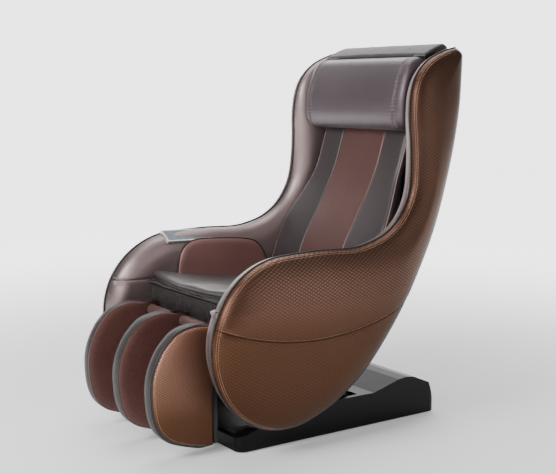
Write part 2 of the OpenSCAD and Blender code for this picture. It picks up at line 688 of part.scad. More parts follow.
// ---- seat frame ----
mid_y = 30;
mid_z = egg_z - 65;
mid_r = 12.5;
s_y = 170;
s_z = egg_z - 40;
s_r = 10;
sf_x = carr_x - 10;
sf_t = 6;
module seat_plate_2d() {
    difference() {
        union() {
            polygon([[seat_front_y - 10, frame_z], [262, frame_z],
                [262, frame_z - 32], [s_y + 16, s_z + 6], [s_y, s_z - 18],
                [s_y - 18, s_z], [100, egg_z - 12], [mid_y + 22, mid_z],
                [mid_y, mid_z - 20], [mid_y - 22, mid_z], [-30, egg_z - 20],
                [egg_y + 20, egg_z - 26], [egg_y - 24, egg_z - 22],
                [hinge_y + 4, hinge_z - 15], [hinge_y, hinge_z + 6]]);
            translate([egg_y, egg_z]) circle(30);
            translate([hinge_y, hinge_z]) circle(15);
            translate([mid_y, mid_z]) circle(20);
            translate([s_y, s_z]) circle(18);
        }
        translate([egg_y, egg_z]) circle(d = pivot_d + 2 * run_gap);
        translate([hinge_y, hinge_z]) circle(d = hinge_d);
        for (y = [-40, 90, 210]) translate([y, frame_z - 22]) circle(10);
    }
}
module seat_frame() {
    color("#303234") union() {
        for (s = [-1, 1]) translate([s > 0 ? sf_x : -sf_x - sf_t, 0, 0])
            rotate([90, 0, 90]) linear_extrude(sf_t) seat_plate_2d();
        for (b = [[seat_front_y, 30, arm_x - 0.2], [150, 30, arm_x - 0.2],
            [236, 36, sf_x + 0.1]])
            translate([-b[2], b[0], frame_z - 30]) cube([2 * b[2], b[1], 30]);
        translate([0, mid_y, mid_z]) bar(-sf_x - 1, sf_x + 1, mid_r);
        translate([0, s_y, s_z]) bar(-sf_x - 1, sf_x + 1, s_r);
    }
}
module seat_board() {
    color("#b58f63") difference() {
        translate([-arm_x + 0.2, seat_front_y - 7, frame_z])
            cube([2 * arm_x - 0.4, back_y - 48 - seat_front_y + 7, board_t]);
        for (x = [-150, 0, 150]) for (y = [-120, 20, 130])
            translate([x, y, frame_z - 1]) cylinder(d = 24, h = board_t + 2);
    }
}
module hinge_shaft() {
    color("#b9bbbd") translate([0, hinge_y, hinge_z])
        bar(-sf_x - sf_t, sf_x + sf_t, hinge_d / 2);
}
// Two small boxes hung from the seat board
module air_pump() {
    color("#3a3d40") difference() {
        union() {
            translate([-205, 14, frame_z - 92]) cube([90, 112, 92]);
            for (y = [64, 100]) translate([-160, y, frame_z - 92])
                rotate([180, 0, 0]) cylinder(d = 22, h = 6);
        }
        for (z = [16:12:76]) translate([-210, 10, frame_z - z])
            cube([100, 3.9 + 2, 5]);
    }
}
module control_box() {
    color("#2f3133") difference() {
        translate([112, 14, frame_z - 74]) cube([92, 120, 74]);
        for (y = [30:14:116]) translate([150, y, frame_z - 60])
            cube([60, 6, 44]);
    }
}

// ---- control panel on the right armrest ----
panel_w = 55;
panel_l = 150;
panel_seat = 6;
panel_y = egg_y + 30;
module panel_place() {
    translate([-panel_x + 35, panel_y, arm_z - 15]) rotate([0, 30, 0])
        rotate([-2, 0, 0]) children();
}
module control_panel() {
    color("#b9bdc2") panel_place() difference() {
        translate([0, 0, -panel_seat + 4.5])
            cube([panel_w, panel_l, 9], center = true);
        translate([0, 0, 3 - 1.8 + 5])
            cube([panel_w - 8, panel_l - 8, 10], center = true);
    }
}
module control_screen() {
    color("#5d6b78") panel_place() translate([0, 0, 3 - 1.8 + 0.8])
        cube([panel_w - 8.4, panel_l - 8.4, 1.6], center = true);
}

// ---- leg rest ----
leg_rear_y = hinge_y - hinge_d;
leg_pts = [for (p = [[0.08, 0.99], [0.286, 1], [0.55, 0.966], [0.73, 0.886],
    [0.86, 0.79], [0.967, 0.651], [1, 0.5], [0.967, 0.309], [0.874, 0.179],
    [0.72, 0.096], [0.55, 0.052], [0.253, 0.003], [0.08, 0]])
    [leg_rear_y - p[0] * leg_depth, mix(leg_bottom_z, leg_top_z, p[1])]];
leg_line = closed_ends(leg_pts);
module leg_wall_solid(x0, x1) {
    n = 22;
    K = [0, 0.25, 1];
    A = [for (s = steps(n)) curve(leg_line, s)];
    B = [for (s = steps(n)) [leg_rear_y - soft_gap,
        mix(leg_top_z - 5, leg_bottom_z + 3, s)]];
    R = strip_rows(A, B, K, 34, 6);
    xm = (x0 + x1) / 2;
    h = (x1 - x0) / 2;
    function hh(i, q) = h * mix(0.72, 1, crown(q) * crown(min(i, n - i) / 2));
    F = [for (i = [0:n]) [for (q = R[i]) [xm + hh(i, q[1]), q[0][0], q[0][1]]]];
    G = [for (i = [0:n]) [for (q = R[i]) [xm - hh(i, q[1]), q[0][0], q[0][1]]]];
    slab(F, G);
}
leg_out = leg_pitch + leg_wall / 2 - leg_face_t;
module leg_wall_side(side) {
    color("#5b3430") mirrored(side)
        leg_wall_solid(leg_pitch - leg_wall / 2, leg_out);
}
module leg_wall_middle() {
    color("#5b3430") leg_wall_solid(-leg_wall / 2, leg_wall / 2);
}
module leg_face(side) {
    n = 18;
    c = [leg_rear_y - 0.32 * leg_depth, mix(leg_bottom_z, leg_top_z, 0.5)];
    A = [for (s = steps(n)) let (p = curve(leg_line, 0.03 + 0.94 * s),
        v = c - p) p + v / norm(v) * 20];
    B = [for (s = steps(n)) [leg_rear_y - 6,
        mix(leg_top_z - 22, leg_bottom_z + 20, s)]];
    color("#7a5238") mirrored(side) strip(A, B, leg_out + 0.2, 2,
        function(p) leg_face_t - 0.2, [0, 0.3, 1], 26, 8, 14);
}
module calf_pad(side) {
    w0 = leg_wall / 2 + 1;
    w1 = leg_pitch - leg_wall / 2 - 1;
    cols = [0, 0.06, 0.25, 0.5, 0.75, 0.94, 1];
    rows = [0, 0.04, 0.15, 0.38, 0.62, 0.85, 0.96, 1];
    y0 = leg_rear_y - soft_gap;
    z0 = leg_bottom_z + 24;
    z1 = hinge_z - 12;
    G = [for (v = rows) [for (c = cols) [mix(w0, w1, c), y0, mix(z0, z1, v)]]];
    F = [for (v = rows) [for (c = cols) [mix(w0, w1, c), y0 - 3 - (calf_t - 3)
        * crown(min(c, 1 - c) * 3.2) * crown(min(v, 1 - v) * 7),
        mix(z0, z1, v)]]];
    color("#3f2f2e") mirrored(side) slab(G, F);
}
// Pressed steel pan with a hinge barrel, ribs and the rod's lug
lug_x = -70;
lug_y = hinge_y - 5;
lug_z = hinge_z - 108;
module leg_pan() {
    hw = leg_out - 1;
    y0 = leg_rear_y;
    color("#303234") difference() {
        union() {
            translate([-hw, y0, leg_bottom_z + 5])
                cube([2 * hw, 4, hinge_z - leg_bottom_z - 5]);
            for (x = [-hw, -leg_pitch / 2 - 2, leg_pitch / 2 - 2, hw - 4])
                translate([x, y0, leg_bottom_z + 5])
                cube([4, 12, hinge_z - leg_bottom_z - 10]);
            for (z = [leg_bottom_z + 5, leg_bottom_z + 120])
                translate([-hw, y0, z]) cube([2 * hw, 12, 4]);
            translate([0, hinge_y, hinge_z]) bar(-hw, hw, hinge_d / 2 + 5);
            for (s = [-1, 1]) translate([lug_x + s * 13 - 3, 0, 0])
                rotate([90, 0, 90]) linear_extrude(6) union() {
                translate([lug_y + 14, lug_z]) circle(12);
                translate([y0 + 1, lug_z - 16]) square([16, 32]);
            }
            translate([0, lug_y + 14, lug_z]) bar(lug_x - 14, lug_x + 14, 5);
        }
        translate([0, hinge_y, hinge_z]) bar(-300, 300, hinge_d / 2 + run_gap);
        for (x = [-leg_pitch / 2, leg_pitch / 2]) for (z = [70, 200])
            translate([x, y0 - 1, z]) rotate([-90, 0, 0])
            cylinder(d = 36, h = 3 + 3);
    }
}

// ---- linear actuators ----
rod_gap = 3;
// Tube, gearbox and motor lying along +Y from its eye at the origin
module actuator_body(len_, eye_r, x) {
    difference() {
        union() {
            bar(x - 12, x + 12, eye_r + 7);
            translate([x, eye_r + 4, 0]) rotate([-90, 0, 0])
                cylinder(r = 16, h = 30);
            translate([x, eye_r + 30, 0]) rotate([-90, 0, 0])
                cylinder(r = 14, h = len_ - eye_r - 30);
            translate([x, eye_r + 16, 32]) rotate([-90, 0, 0])
                cylinder(r = 15, h = 62);
            translate([x - 14, eye_r + 8, 0]) cube([28, 26, 32]);
        }
        bar(x - 50, x + 50, eye_r + run_gap);
        translate([x, eye_r + 9, 0]) rotate([-90, 0, 0])
            cylinder(r = 8.4, h = len_);
    }
}
module actuator_rod(y0, y1, eye_r, x, w) {
    difference() {
        union() {
            translate([x, y0, 0]) rotate([-90, 0, 0])
                cylinder(r = 8, h = y1 - y0 - eye_r - 1);
            translate([0, y1, 0]) bar(x - w / 2, x + w / 2, eye_r + 6);
        }
        translate([0, y1, 0]) bar(x - w / 2 - 1, x + w / 2 + 1, eye_r);
    }
}
c_y = -95;
c_z = 85;
rec_x = 70;
rec_a = atan2(s_z - c_z, s_y - c_y);
rec_len = norm([s_y - c_y, s_z - c_z]);
module recline_motor() {
    color("#26282a") translate([0, c_y, c_z]) rotate([rec_a, 0, 0])
        actuator_body(200, s_r, rec_x);
}
module recline_rod() {
    color("#c4c6c8") translate([0, c_y, c_z]) rotate([rec_a, 0, 0])
        actuator_rod(110, rec_len, s_r + rod_gap, rec_x, 20);
}
leg_a = atan2(lug_z - mid_z, mid_y - lug_y - 14);
leg_len = norm([mid_y - lug_y - 14, mid_z - lug_z]);
module legrest_motor() {
    color("#26282a") translate([0, mid_y, mid_z]) rotate([-leg_a, 0, 0])
        mirror([0, 1, 0]) actuator_body(200, mid_r, lug_x);
}
module legrest_rod() {
    color("#c4c6c8") translate([lug_x, mid_y, mid_z]) rotate([-leg_a, 0, 0])
        rotate([90, 0, 0]) translate([0, 0, 72]) union() {
        cylinder(r = 8, h = leg_len - 72 - 5 - rod_gap - 6);
        cylinder(r = 6, h = leg_len - 72 - 5 - rod_gap);
    }
}

// ---- carriage ----
ax_z = foot_h + rail_h + wheel_r + 0.3;
ax_y = [-65, 85];
module carriage_plate_2d() {
    difference() {
        union() {
            polygon([[egg_y - 26, egg_z - 8], [c_y - 13, c_z + 20],
                [c_y - 13, ax_z - 11], [128, ax_z - 11], [128, ax_z + 30],
                [0, 175], [egg_y + 26, egg_z + 12]]);
            translate([egg_y, egg_z]) circle(28);
        }
        for (y = ax_y) translate([y, ax_z]) circle(d = axle_d + 2 * run_gap);
        difference() {
            polygon([[egg_y + 6, egg_z - 52], [c_y + 12, c_z + 24],
                [96, ax_z + 30], [-18, 158]]);
        }
    }
}
module carriage_frame() {
    color("#303234") union() {
        for (s = [-1, 1]) translate([s > 0 ? carr_x : -carr_x - plate_t, 0, 0])
            rotate([90, 0, 90]) linear_extrude(plate_t) carriage_plate_2d();
        for (s = [-1, 1]) translate([0, egg_y, egg_z])
            bar(s > 0 ? sf_x - 4 : -carr_x - plate_t,
            s > 0 ? carr_x + plate_t : -sf_x + 4, pivot_d / 2);
        for (p = [[c_y, c_z], [112, c_z + 8]]) translate([0, p[0], p[1]])
            bar(-carr_x - 1, carr_x + 1, s_r);
    }
}
module wheelset(y) {
    color("#3c3e40") translate([0, y, ax_z]) union() {
        bar(-carr_x - plate_t - 3, carr_x + plate_t + 3, axle_d / 2);
        for (s = [-1, 1]) translate([s * rail_x, 0, 0])
            bar(-rail_w / 2 + 4, rail_w / 2 - 4, wheel_r);
    }
}

// ---- base ----
module base_frame() {
    color("#303234") union() {
        for (s = [-1, 1]) translate([s * rail_x - rail_w / 2,
            base_front_y + 11, foot_h])
            cube([rail_w, base_rear_y - base_front_y - 48, rail_h]);
        for (y = [base_front_y + 11, 180, base_rear_y - 64])
            translate([-rail_x, y, foot_h]) cube([2 * rail_x, 25, rail_h - 10]);
        for (s = [-1, 1]) for (y = [base_front_y + 60, 200])
            translate([s > 0 ? rail_x : -base_w / 2 + cover_t + soft_gap, y,
            foot_h]) cube([base_w / 2 - rail_x - cover_t - soft_gap, 30, 12]);
        for (s = [-1, 1]) translate([0, caster_y, caster_z])
            bar(s > 0 ? rail_x - 8 : -caster_pin_x,
            s > 0 ? caster_pin_x : -rail_x + 8, 5);
        for (s = [-1, 1]) translate([s * rail_x - rail_w / 2,
            base_rear_y - 42, foot_h]) cube([rail_w, 20, rail_h - 12]);
    }
}
// Outer line of the base cover, seen from the side, drawn in by t
function base_line(t) = [[base_front_y + t, 3 - t * 9],
    [base_front_y + t, skirt_h - 4 - t], [base_front_y + 5 + t, skirt_h - t],
    [-150, 66 - t], [-60, 84 - t], [60, 93 - t], [150, 93 - t], [207, 92 - t],
    [256, 105 - t], [299, 117 - t], [330, 120 - t], [356, 116 - t],
    [base_rear_y - 28 - t, 91 - t], [base_rear_y - t, 16],
    [base_rear_y - 10 - t, 3 - t * 9]];
module base_body(t) {
    r = 26;
    intersection() {
        translate([-base_w / 2 + t, 0, 0]) rotate([90, 0, 90])
            linear_extrude(base_w - 2 * t) polygon(base_line(t));
        translate([0, 0, -60]) linear_extrude(300) union() {
            translate([-base_w / 2 + t, base_front_y + r])
                square([base_w - 2 * t, base_rear_y - base_front_y - 2 * r]);
            translate([-base_w / 2 + r, base_front_y + t])
                square([base_w - 2 * r, base_rear_y - base_front_y - 2 * t]);
            for (s = [-1, 1]) for (y = [base_front_y + r, base_rear_y - r])
                translate([s * (base_w / 2 - r), y]) circle(r - t);
        }
    }
}
rear_tilt = atan2(28, 75);
caster_x = rail_x + rail_w / 2 + 12;
caster_y = base_rear_y - 28;
caster_z = caster_r + 3;
caster_w = 16;
caster_pin_x = caster_x + caster_w / 2 + 10;
module base_cover() {
    color("#1b1b1c") difference() {
        base_body(0);
        base_body(cover_t);
        translate([-carr_x - plate_t - 7, base_front_y + 9, 20])
            cube([2 * (carr_x + plate_t + 7), 391, 200]);
        for (s = [-1, 1]) translate([s * caster_x - caster_w / 2 - 2,
            caster_y - caster_r - 3, -1])
            cube([caster_w + 4, caster_r + 63, caster_z + caster_r + 3]);
        on_rear() translate([-24, -8, -10]) cube([48, 8 + 20, 20]);
        on_rear() translate([rocker_x - 10.5, -8, -10.5]) cube([21, 30, 21]);
        for (x = [-190:20:-110]) on_rear() translate([x, -8, -18])
            cube([6, 30, 36]);
        for (x = [110:20:190]) on_rear() translate([x, -8, -18])
            cube([6, 30, 36]);
    }
}
// Place on the sloping rear face: y points out of the face
rocker_x = -51.5;
module on_rear() {
    translate([0, base_rear_y - 14, 53.5]) rotate([rear_tilt, 0, 0]) children();
}
module base_feet() {
    color("#222223") for (s = [-1, 1]) for (y = [base_front_y + 40, 310])
        translate([s * rail_x, y, 0]) union() {
            cylinder(d1 = foot_d - 6, d2 = foot_d, h = 8, $fn = 48);
            translate([0, 0, 8]) cylinder(d = foot_d, h = foot_h - 8);
        }
}
module caster(side) {
    color("#2a2a2b") translate([side * caster_x, caster_y, caster_z])
        rotate([0, 90, 0])
        rotate_extrude() difference() {
        translate([0, -caster_w / 2]) square([caster_r, caster_w]);
        translate([-1, -caster_w / 2 - 1])
            square([1 + 5 + run_gap, caster_w + 2]);
        for (s = [-1, 1]) translate([caster_r, s * caster_w / 2]) rotate(45)
            square(4, center = true);
    }
}
module power_inlet() {
    color("#1a1a1a") on_rear() difference() {
        union() {
            translate([-24 + soft_gap, -26, -10 + soft_gap])
                cube([48 - 2 * soft_gap, 27, 20 - 2 * soft_gap]);
            translate([-28, 0.1, -14]) cube([56, 2.5, 28]);
        }
        translate([-12, -16, -7]) cube([24, 30, 14]);
    }
}
module power_rocker() {
    color("#26282a") on_rear() translate([rocker_x, 0, 0]) union() {
        rotate([6, 0, 0]) difference() {
            translate([-9.5, -7, -9]) cube([19, 10, 18]);
            translate([0, 33, 0]) bar(-30, 30, 30.6);
        }
        bar(-10.3, 10.3, 2);
    }
}
module power_supply() {
    color("#6d7073") difference() {
        translate([-110, 250, foot_h + rail_h - 10 + soft_gap]) union() {
            cube([200, 110, 54]);
            cube([200, base_rear_y - 48 - 250, 3]);
        }
        for (x = [-98:14:84]) translate([x, 240, foot_h + rail_h + 2])
            cube([6, 13, 34]);
    }
}

placed() base_frame();
placed() base_cover();
placed() base_feet();
placed() caster(1);  // caster_left
placed() caster(-1);  // caster_right
placed() power_inlet();
placed() power_rocker();
placed() power_supply();
placed() carriage_frame();
placed() wheelset(ax_y[0]);  // wheelset_front
placed() wheelset(ax_y[1]);  // wheelset_rear
placed() recline_motor();
placed() recline_rod();
placed() seat_frame();
placed() seat_board();
placed() back_frame();
placed() rail(1);  // rail_left
placed() rail(-1);  // rail_right
placed() seat_cushion();
placed() seat_topper();
placed() seat_valance();
placed() back_pad();
placed() pillow();
placed() top_flap();
placed() arm_upper(1);  // arm_upper_left
placed() arm_upper(-1);  // arm_upper_right
placed() arm_lower(1);  // arm_lower_left
placed() arm_lower(-1);  // arm_lower_right
placed() side_panel(1);  // side_panel_left
placed() side_panel(-1);  // side_panel_right
placed() arm_pad(1);  // arm_pad_left
placed() arm_pad(-1);  // arm_pad_right
placed() back_cover();
placed() control_panel();
placed() control_screen();
placed() air_pump();
placed() control_box();
placed() legrest_motor();
placed() legrest_rod();
placed() hinge_shaft();
placed() leg_pan();
placed() leg_wall_side(1);  // leg_wall_left
placed() leg_wall_middle();
placed() leg_wall_side(-1);  // leg_wall_right
placed() leg_face(1);  // leg_face_left
placed() leg_face(-1);  // leg_face_right
placed() calf_pad(1);  // calf_pad_left
placed() calf_pad(-1);  // calf_pad_right
placed() mech_frame();
placed() mech_sliders();
placed() mech_motor();
placed() travel_motor();
placed() travel_shaft();
placed() knead_arm(1);  // knead_arm_left
placed() knead_arm(-1);  // knead_arm_right
placed() roller(1, 1);  // roller_upper_left
placed() roller(1, -1);  // roller_lower_left
placed() roller(-1, 1);  // roller_upper_right
placed() roller(-1, -1);  // roller_lower_right
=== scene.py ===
import math

import bmesh
import bpy
import numpy as np
from mathutils import Matrix, Vector, noise


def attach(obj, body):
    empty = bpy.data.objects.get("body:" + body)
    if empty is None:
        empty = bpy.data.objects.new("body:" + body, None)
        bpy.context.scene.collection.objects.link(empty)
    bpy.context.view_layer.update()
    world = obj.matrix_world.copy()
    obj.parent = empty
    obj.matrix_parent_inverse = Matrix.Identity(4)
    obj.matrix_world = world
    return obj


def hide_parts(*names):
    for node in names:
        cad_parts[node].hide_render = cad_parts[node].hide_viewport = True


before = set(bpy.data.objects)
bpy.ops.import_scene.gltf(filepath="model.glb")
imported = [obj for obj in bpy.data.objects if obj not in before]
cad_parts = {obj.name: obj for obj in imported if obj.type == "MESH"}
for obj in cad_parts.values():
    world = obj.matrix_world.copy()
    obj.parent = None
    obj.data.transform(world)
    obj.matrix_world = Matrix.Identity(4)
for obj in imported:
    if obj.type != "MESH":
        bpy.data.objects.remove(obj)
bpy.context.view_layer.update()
# Places from front to back are measured from a datum this far in front of the middle
MIDDLE = 0.012
CAMERA_AZIMUTH, CAMERA_ELEVATION, CAMERA_LENS, CAMERA_SENSOR = 55.465, 7.792, 69.9, 36
CAMERA_PLACE = (2.5205, -1.6820 - MIDDLE, 0.9358)


# ---------------------------------------------------------------- camera
def add_camera():
    a, e = math.radians(CAMERA_AZIMUTH), math.radians(CAMERA_ELEVATION)
    right = Vector((math.cos(a), math.sin(a), 0))
    up = Vector((-math.sin(a) * math.sin(e), math.cos(a) * math.sin(e), math.cos(e)))
    back = Vector((math.sin(a) * math.cos(e), -math.cos(a) * math.cos(e), math.sin(e)))
    data = bpy.data.cameras.new("camera")
    data.sensor_width, data.lens = CAMERA_SENSOR, CAMERA_LENS
    data.clip_start, data.clip_end = 0.05, 60
    camera = bpy.data.objects.new("camera", data)
    turn = Matrix((right, up, back)).transposed().to_4x4()
    camera.matrix_world = Matrix.Translation(CAMERA_PLACE) @ turn
    bpy.context.collection.objects.link(camera)
    bpy.context.scene.camera = camera


add_camera()


# ---------------------------------------------------------------- finishes
class Value:
    """A shader socket that takes part in sums written as Python."""

    def __init__(self, graph, socket):
        self.graph, self.socket = graph, socket

    def calc(self, operation, *others):
        return self.graph.add("ShaderNodeMath", {"operation": operation}, (self,) + others)

    def __add__(self, other):
        return self.calc("ADD", other)

    __radd__ = __add__

    def __mul__(self, other):
        return self.calc("MULTIPLY", other)

    __rmul__ = __mul__

    def __sub__(self, other):
        return self.calc("SUBTRACT", other)

    def __rsub__(self, other):
        return self.graph.add("ShaderNodeMath", {"operation": "SUBTRACT"}, (other, self))

    def __truediv__(self, other):
        return self.calc("DIVIDE", other)

    def __pow__(self, other):
        return self.calc("POWER", other)

    def __gt__(self, other):
        return self.calc("GREATER_THAN", other)

    def __lt__(self, other):
        return self.calc("LESS_THAN", other)

    def __abs__(self):
        return self.calc("ABSOLUTE")

    def sin(self):
        return self.calc("SINE")

    def fade(self, low, high):
        """0 below low and 1 above high, eased between them."""
        return self.graph.add("ShaderNodeMapRange", {"interpolation_type": "SMOOTHSTEP"},
                               (self, low, high, 0.0, 1.0))


class Graph:
    """A node tree whose added nodes all come from one method."""

    def __init__(self, tree):
        self.tree = tree

    def node(self, kind, settings=None, inputs=()):
        """The one way a node is made: its settings first, then its sockets."""
        node = self.tree.nodes.new(kind)
        for key, value in (settings or {}).items():
            setattr(node, key, value)
        pairs = inputs.items() if isinstance(inputs, dict) else enumerate(inputs)
        for key, value in pairs:
            if isinstance(value, Value):
                self.tree.links.new(value.socket, node.inputs[key])
            else:
                node.inputs[key].default_value = value
        return node

    def add(self, kind, settings=None, inputs=(), output=0):
        """A new node, as the value of one of its outputs."""
        return Value(self, self.node(kind, settings, inputs).outputs[output])


class Finish(Graph):
    """One material and the nodes that colour it."""

    def __init__(self, name, slot, **constants):
        self.slot = slot
        self.material = bpy.data.materials.new(name)
        self.material.use_nodes = True
        super().__init__(self.material.node_tree)
        self.tree.nodes.clear()
        sockets = {key.replace("_", " "): value for key, value in constants.items()}
        self.shader = self.node("ShaderNodeBsdfPrincipled", None, sockets)
        self.node("ShaderNodeOutputMaterial", None, (Value(self, self.shader.outputs[0]),))
        self.place = self.add("ShaderNodeTexCoord", output="Object")
        parts = self.node("ShaderNodeSeparateXYZ", None, (self.place,))
        self.x, self.y, self.z = (Value(self, parts.outputs[i]) for i in range(3))

    def set(self, key, value):
        self.tree.links.new(value.socket, self.shader.inputs[key])

    def mix(self, factor, first, second):
        return self.add("ShaderNodeMix", {"data_type": "RGBA"},
                        {0: factor, 6: first, 7: second}, 2)

    def cloud(self, scale, detail=3.0, rough=0.5):
        return self.add("ShaderNodeTexNoise", None,
                        {"Vector": self.place, "Scale": scale, "Detail": detail, "Roughness": rough})

    def cells(self, scale):
        return self.add("ShaderNodeTexVoronoi", {"feature": "DISTANCE_TO_EDGE"},
                        {"Vector": self.place, "Scale": scale}, "Distance")

    def relief(self, height, distance, strength=1.0):
        self.set("Normal", self.add("ShaderNodeBump", None,
                                    {"Height": height, "Distance": distance, "Strength": strength}, "Normal"))


def rgb(r, g, b):
    return (r, g, b, 1.0)


def shade(colour, k):
    return tuple(c * k for c in colour[:3]) + (1.0,)


def smooth_hide(name, slot, colour, metal=0.35, rough=0.38, second=None, where=None):
    """Coated leather: fine pebbled grain, faint clouding, a soft metallic sheen."""
    f = Finish(name, slot, IOR=1.47, Metallic=metal, Coat_Weight=0.12, Coat_Roughness=0.3,
               Sheen_Weight=0.06, Sheen_Roughness=0.4)
    cloud = f.cloud(7.0, 4.0)
    fine = f.cloud(90.0, 2.0)
    base = f.mix((cloud - 0.3) * 1.6, shade(colour, 0.84), shade(colour, 1.18))
    if second:
        other = f.mix((cloud - 0.3) * 1.6, shade(second, 0.84), shade(second, 1.18))
        base = f.mix(where(f), base, other)
    pores = f.cells(620.0).fade(0.0, 0.16)
    base = f.mix(pores, shade(colour, 0.7), base)
    f.set("Base Color", base)
    f.set("Roughness", rough + (cloud - 0.5) * 0.12 + (fine - 0.5) * 0.08)
    creases = f.cloud(26.0, 5.0, 0.6)
    f.relief(pores * 0.18 + fine * 0.3 + creases * 1.2, 0.0006, 0.55)
    return f


def panel_seam_z(y):
    """Height of the level seam across an outer panel, for a number or a shader value."""
    return 0.297 + 0.66 * (y + 0.055) * (y + 0.055)


def embossed_hide(name, slot, upper, lower, painted_glint_colour, pitch, seam=False):
    """Copper hide pressed with staggered scales high up, and smooth golden brown low down; the scale tops are
    painted with a glint and the hollows between them with painted shade.
    """
    f = Finish(name, slot, IOR=1.5, Metallic=0.82, Coat_Weight=0.05, Coat_Roughness=0.3)
    wave = f.cloud(9.0, 2.0)
    back = f.y + MIDDLE
    y = f.y + wave * 0.004
    z = f.z + wave * 0.003
    one = (y / pitch + z / (pitch * 0.6)) * math.pi
    two = (y / pitch - z / (pitch * 0.6)) * math.pi
    scale = (abs(one.sin()) * abs(two.sin())) ** 0.7
    cloud = f.cloud(5.0, 4.0)
    if seam:
        high = f.z.fade(0.28, 0.5)
        press = f.z.fade(0.33, 0.46) * back.fade(-0.32, -0.18) * 0.85 + 0.15
        press = press * (1.0 - (back + (f.z - 0.45) * 0.5).fade(0.0, 0.4) * 0.6)
    else:
        high = f.z.fade(0.08, 0.32)
        press = (f.z.fade(0.1, 0.24) * 0.8 + 0.2) * (1.0 - back.fade(-0.36, -0.3) * 0.5)
    body = f.mix(high, lower, upper)
    body = f.mix((cloud - 0.3) * 1.7, f.mix(0.16, body, rgb(0, 0, 0)), body)
    # painted glint: the raised scale tops take the highlight colour
    base = f.mix(scale.fade(0.4, 1.0) * press * 0.6, body, painted_glint_colour)
    # painted shade: the hollows between the scales are darkened
    base = f.mix((1.0 - scale) * press * 0.5, base, shade(upper, 0.45))
    # painted shade: the panel darkens towards its rear and upwards
    if seam:
        base = f.mix((back + (f.z - 0.3) * 0.15).fade(-0.08, 0.42) * 0.55, base, shade(lower, 0.35))
    height = scale * press + f.cloud(240.0, 2.0) * 0.08 + f.cloud(16.0, 4.0) * 0.5
    if seam:
        groove = abs(f.z - panel_seam_z(back)).fade(0.0006, 0.003)
        base = f.mix(groove, shade(lower, 0.6), base)
        height = height * (0.35 + groove * 0.65) + groove * 1.6
    f.set("Base Color", base)
    f.set("Roughness", 0.40 - scale * press * 0.06 + (cloud - 0.5) * 0.1)
    f.relief(height, 0.0010, 0.7)
    return f


def plain_finish(name, slot, colour, rough, metal=0.0, speckle=0.0, brushed=None, scale=300.0):
    """Paint, plastic, rubber or metal with fine texture and faint marks."""
    f = Finish(name, slot, IOR=1.48, Metallic=metal)
    cloud = f.cloud(11.0, 4.0)
    f.set("Base Color", f.mix((cloud - 0.3) * 1.5, shade(colour, 0.86), shade(colour, 1.14)))
    f.set("Roughness", rough + (cloud - 0.5) * 0.12)
    if brushed:
        stretch = f.add("ShaderNodeMapping", None, {"Vector": f.place, "Scale": brushed})
        lines = f.add("ShaderNodeTexNoise", None, {"Vector": stretch, "Scale": 40.0, "Detail": 2.0})
        f.relief(lines, 0.0002, 0.5)
    else:
        f.relief(f.cloud(scale, 3.0), 0.0003, 0.2 + speckle)
    return f


def deck_finish():
    """Glossy black sides under a dark grey satin deck; the lighter grey of the upward faces is partly painted
    light from above.
    """
    f = Finish("base_black", "cover_gloss", IOR=1.5, Specular_IOR_Level=0.12, Coat_Roughness=0.06)
    side = f.add("ShaderNodeTexCoord", output="Normal")
    up = f.add("ShaderNodeSeparateXYZ", None, (side,), 2)
    deck = up.fade(0.45, 0.75)
    cloud = f.cloud(12.0, 4.0)
    # painted light: upward faces are painted a lighter grey than the sides
    f.set("Base Color", f.mix(deck, rgb(0.0012, 0.0012, 0.0014), rgb(0.004, 0.0042, 0.0045)))
    f.set("Roughness", 0.3 + deck * 0.12 + (cloud - 0.5) * 0.06)
    f.set("Coat Weight", 0.1 - deck * 0.08)
    f.relief(f.cloud(420.0, 2.0), 0.0002, 0.15)
    return f


def wood_finish():
    """Plywood with its grain along the board's width."""
    f = Finish("board_ply", "board_wood", IOR=1.45)
    stretch = f.add("ShaderNodeMapping", None, {"Vector": f.place, "Scale": (6.0, 60.0, 60.0)})
    grain = f.add("ShaderNodeTexNoise", None, {"Vector": stretch, "Scale": 4.0, "Detail": 5.0})
    f.set("Base Color", f.mix(grain, rgb(0.42, 0.27, 0.14), rgb(0.62, 0.45, 0.27)))
    f.set("Roughness", 0.55 + grain * 0.2)
    f.relief(grain, 0.0003, 0.4)
    return f


def cloth_finish():
    """Dark woven cloth of the valance."""
    f = Finish("valance_cloth", "valance_cloth", IOR=1.4, Sheen_Weight=0.08, Sheen_Roughness=0.35)
    turn = math.pi / 0.0011
    weave = abs((f.x * turn).sin()) * abs((f.z * turn).sin())
    cloud = f.cloud(18.0, 4.0)
    f.set("Base Color", f.mix(weave * 0.6 + cloud * 0.4, rgb(0.004, 0.003, 0.003), rgb(0.020, 0.014, 0.013)))
    f.set("Roughness", 0.62 + weave * 0.1)
    f.relief(weave + cloud, 0.0005, 0.5)
    return f


def screen_finish():
    """Dark glass with plain fields in rows."""
    f = Finish("screen_face", "screen_glass", IOR=1.5, Coat_Weight=0.6, Coat_Roughness=0.04)
    pitch = 0.026
    along = (f.y + 1.0).calc("MODULO", pitch)
    rows = abs(along - pitch / 2).fade(0.0095, 0.011)
    f.set("Base Color", f.mix(rows, rgb(0.10, 0.125, 0.15), rgb(0.06, 0.078, 0.1)))
    f.set("Roughness", 0.16 + rows * 0.1)
    return f


# PAINTED_GLINT is a painted highlight colour for the tops of the pressed scales
BRONZE, GOLDEN, PAINTED_GLINT = rgb(0.105, 0.050, 0.034), rgb(0.062, 0.023, 0.008), rgb(0.240, 0.135, 0.092)
BROWN = rgb(0.290, 0.215, 0.212)
GREY = rgb(0.043, 0.032, 0.033)
RED = rgb(0.120, 0.044, 0.036)
RIM = rgb(0.011, 0.007, 0.006)
SEAT = rgb(0.044, 0.034, 0.035)
PILLOW_HIDE = rgb(0.080, 0.060, 0.066)

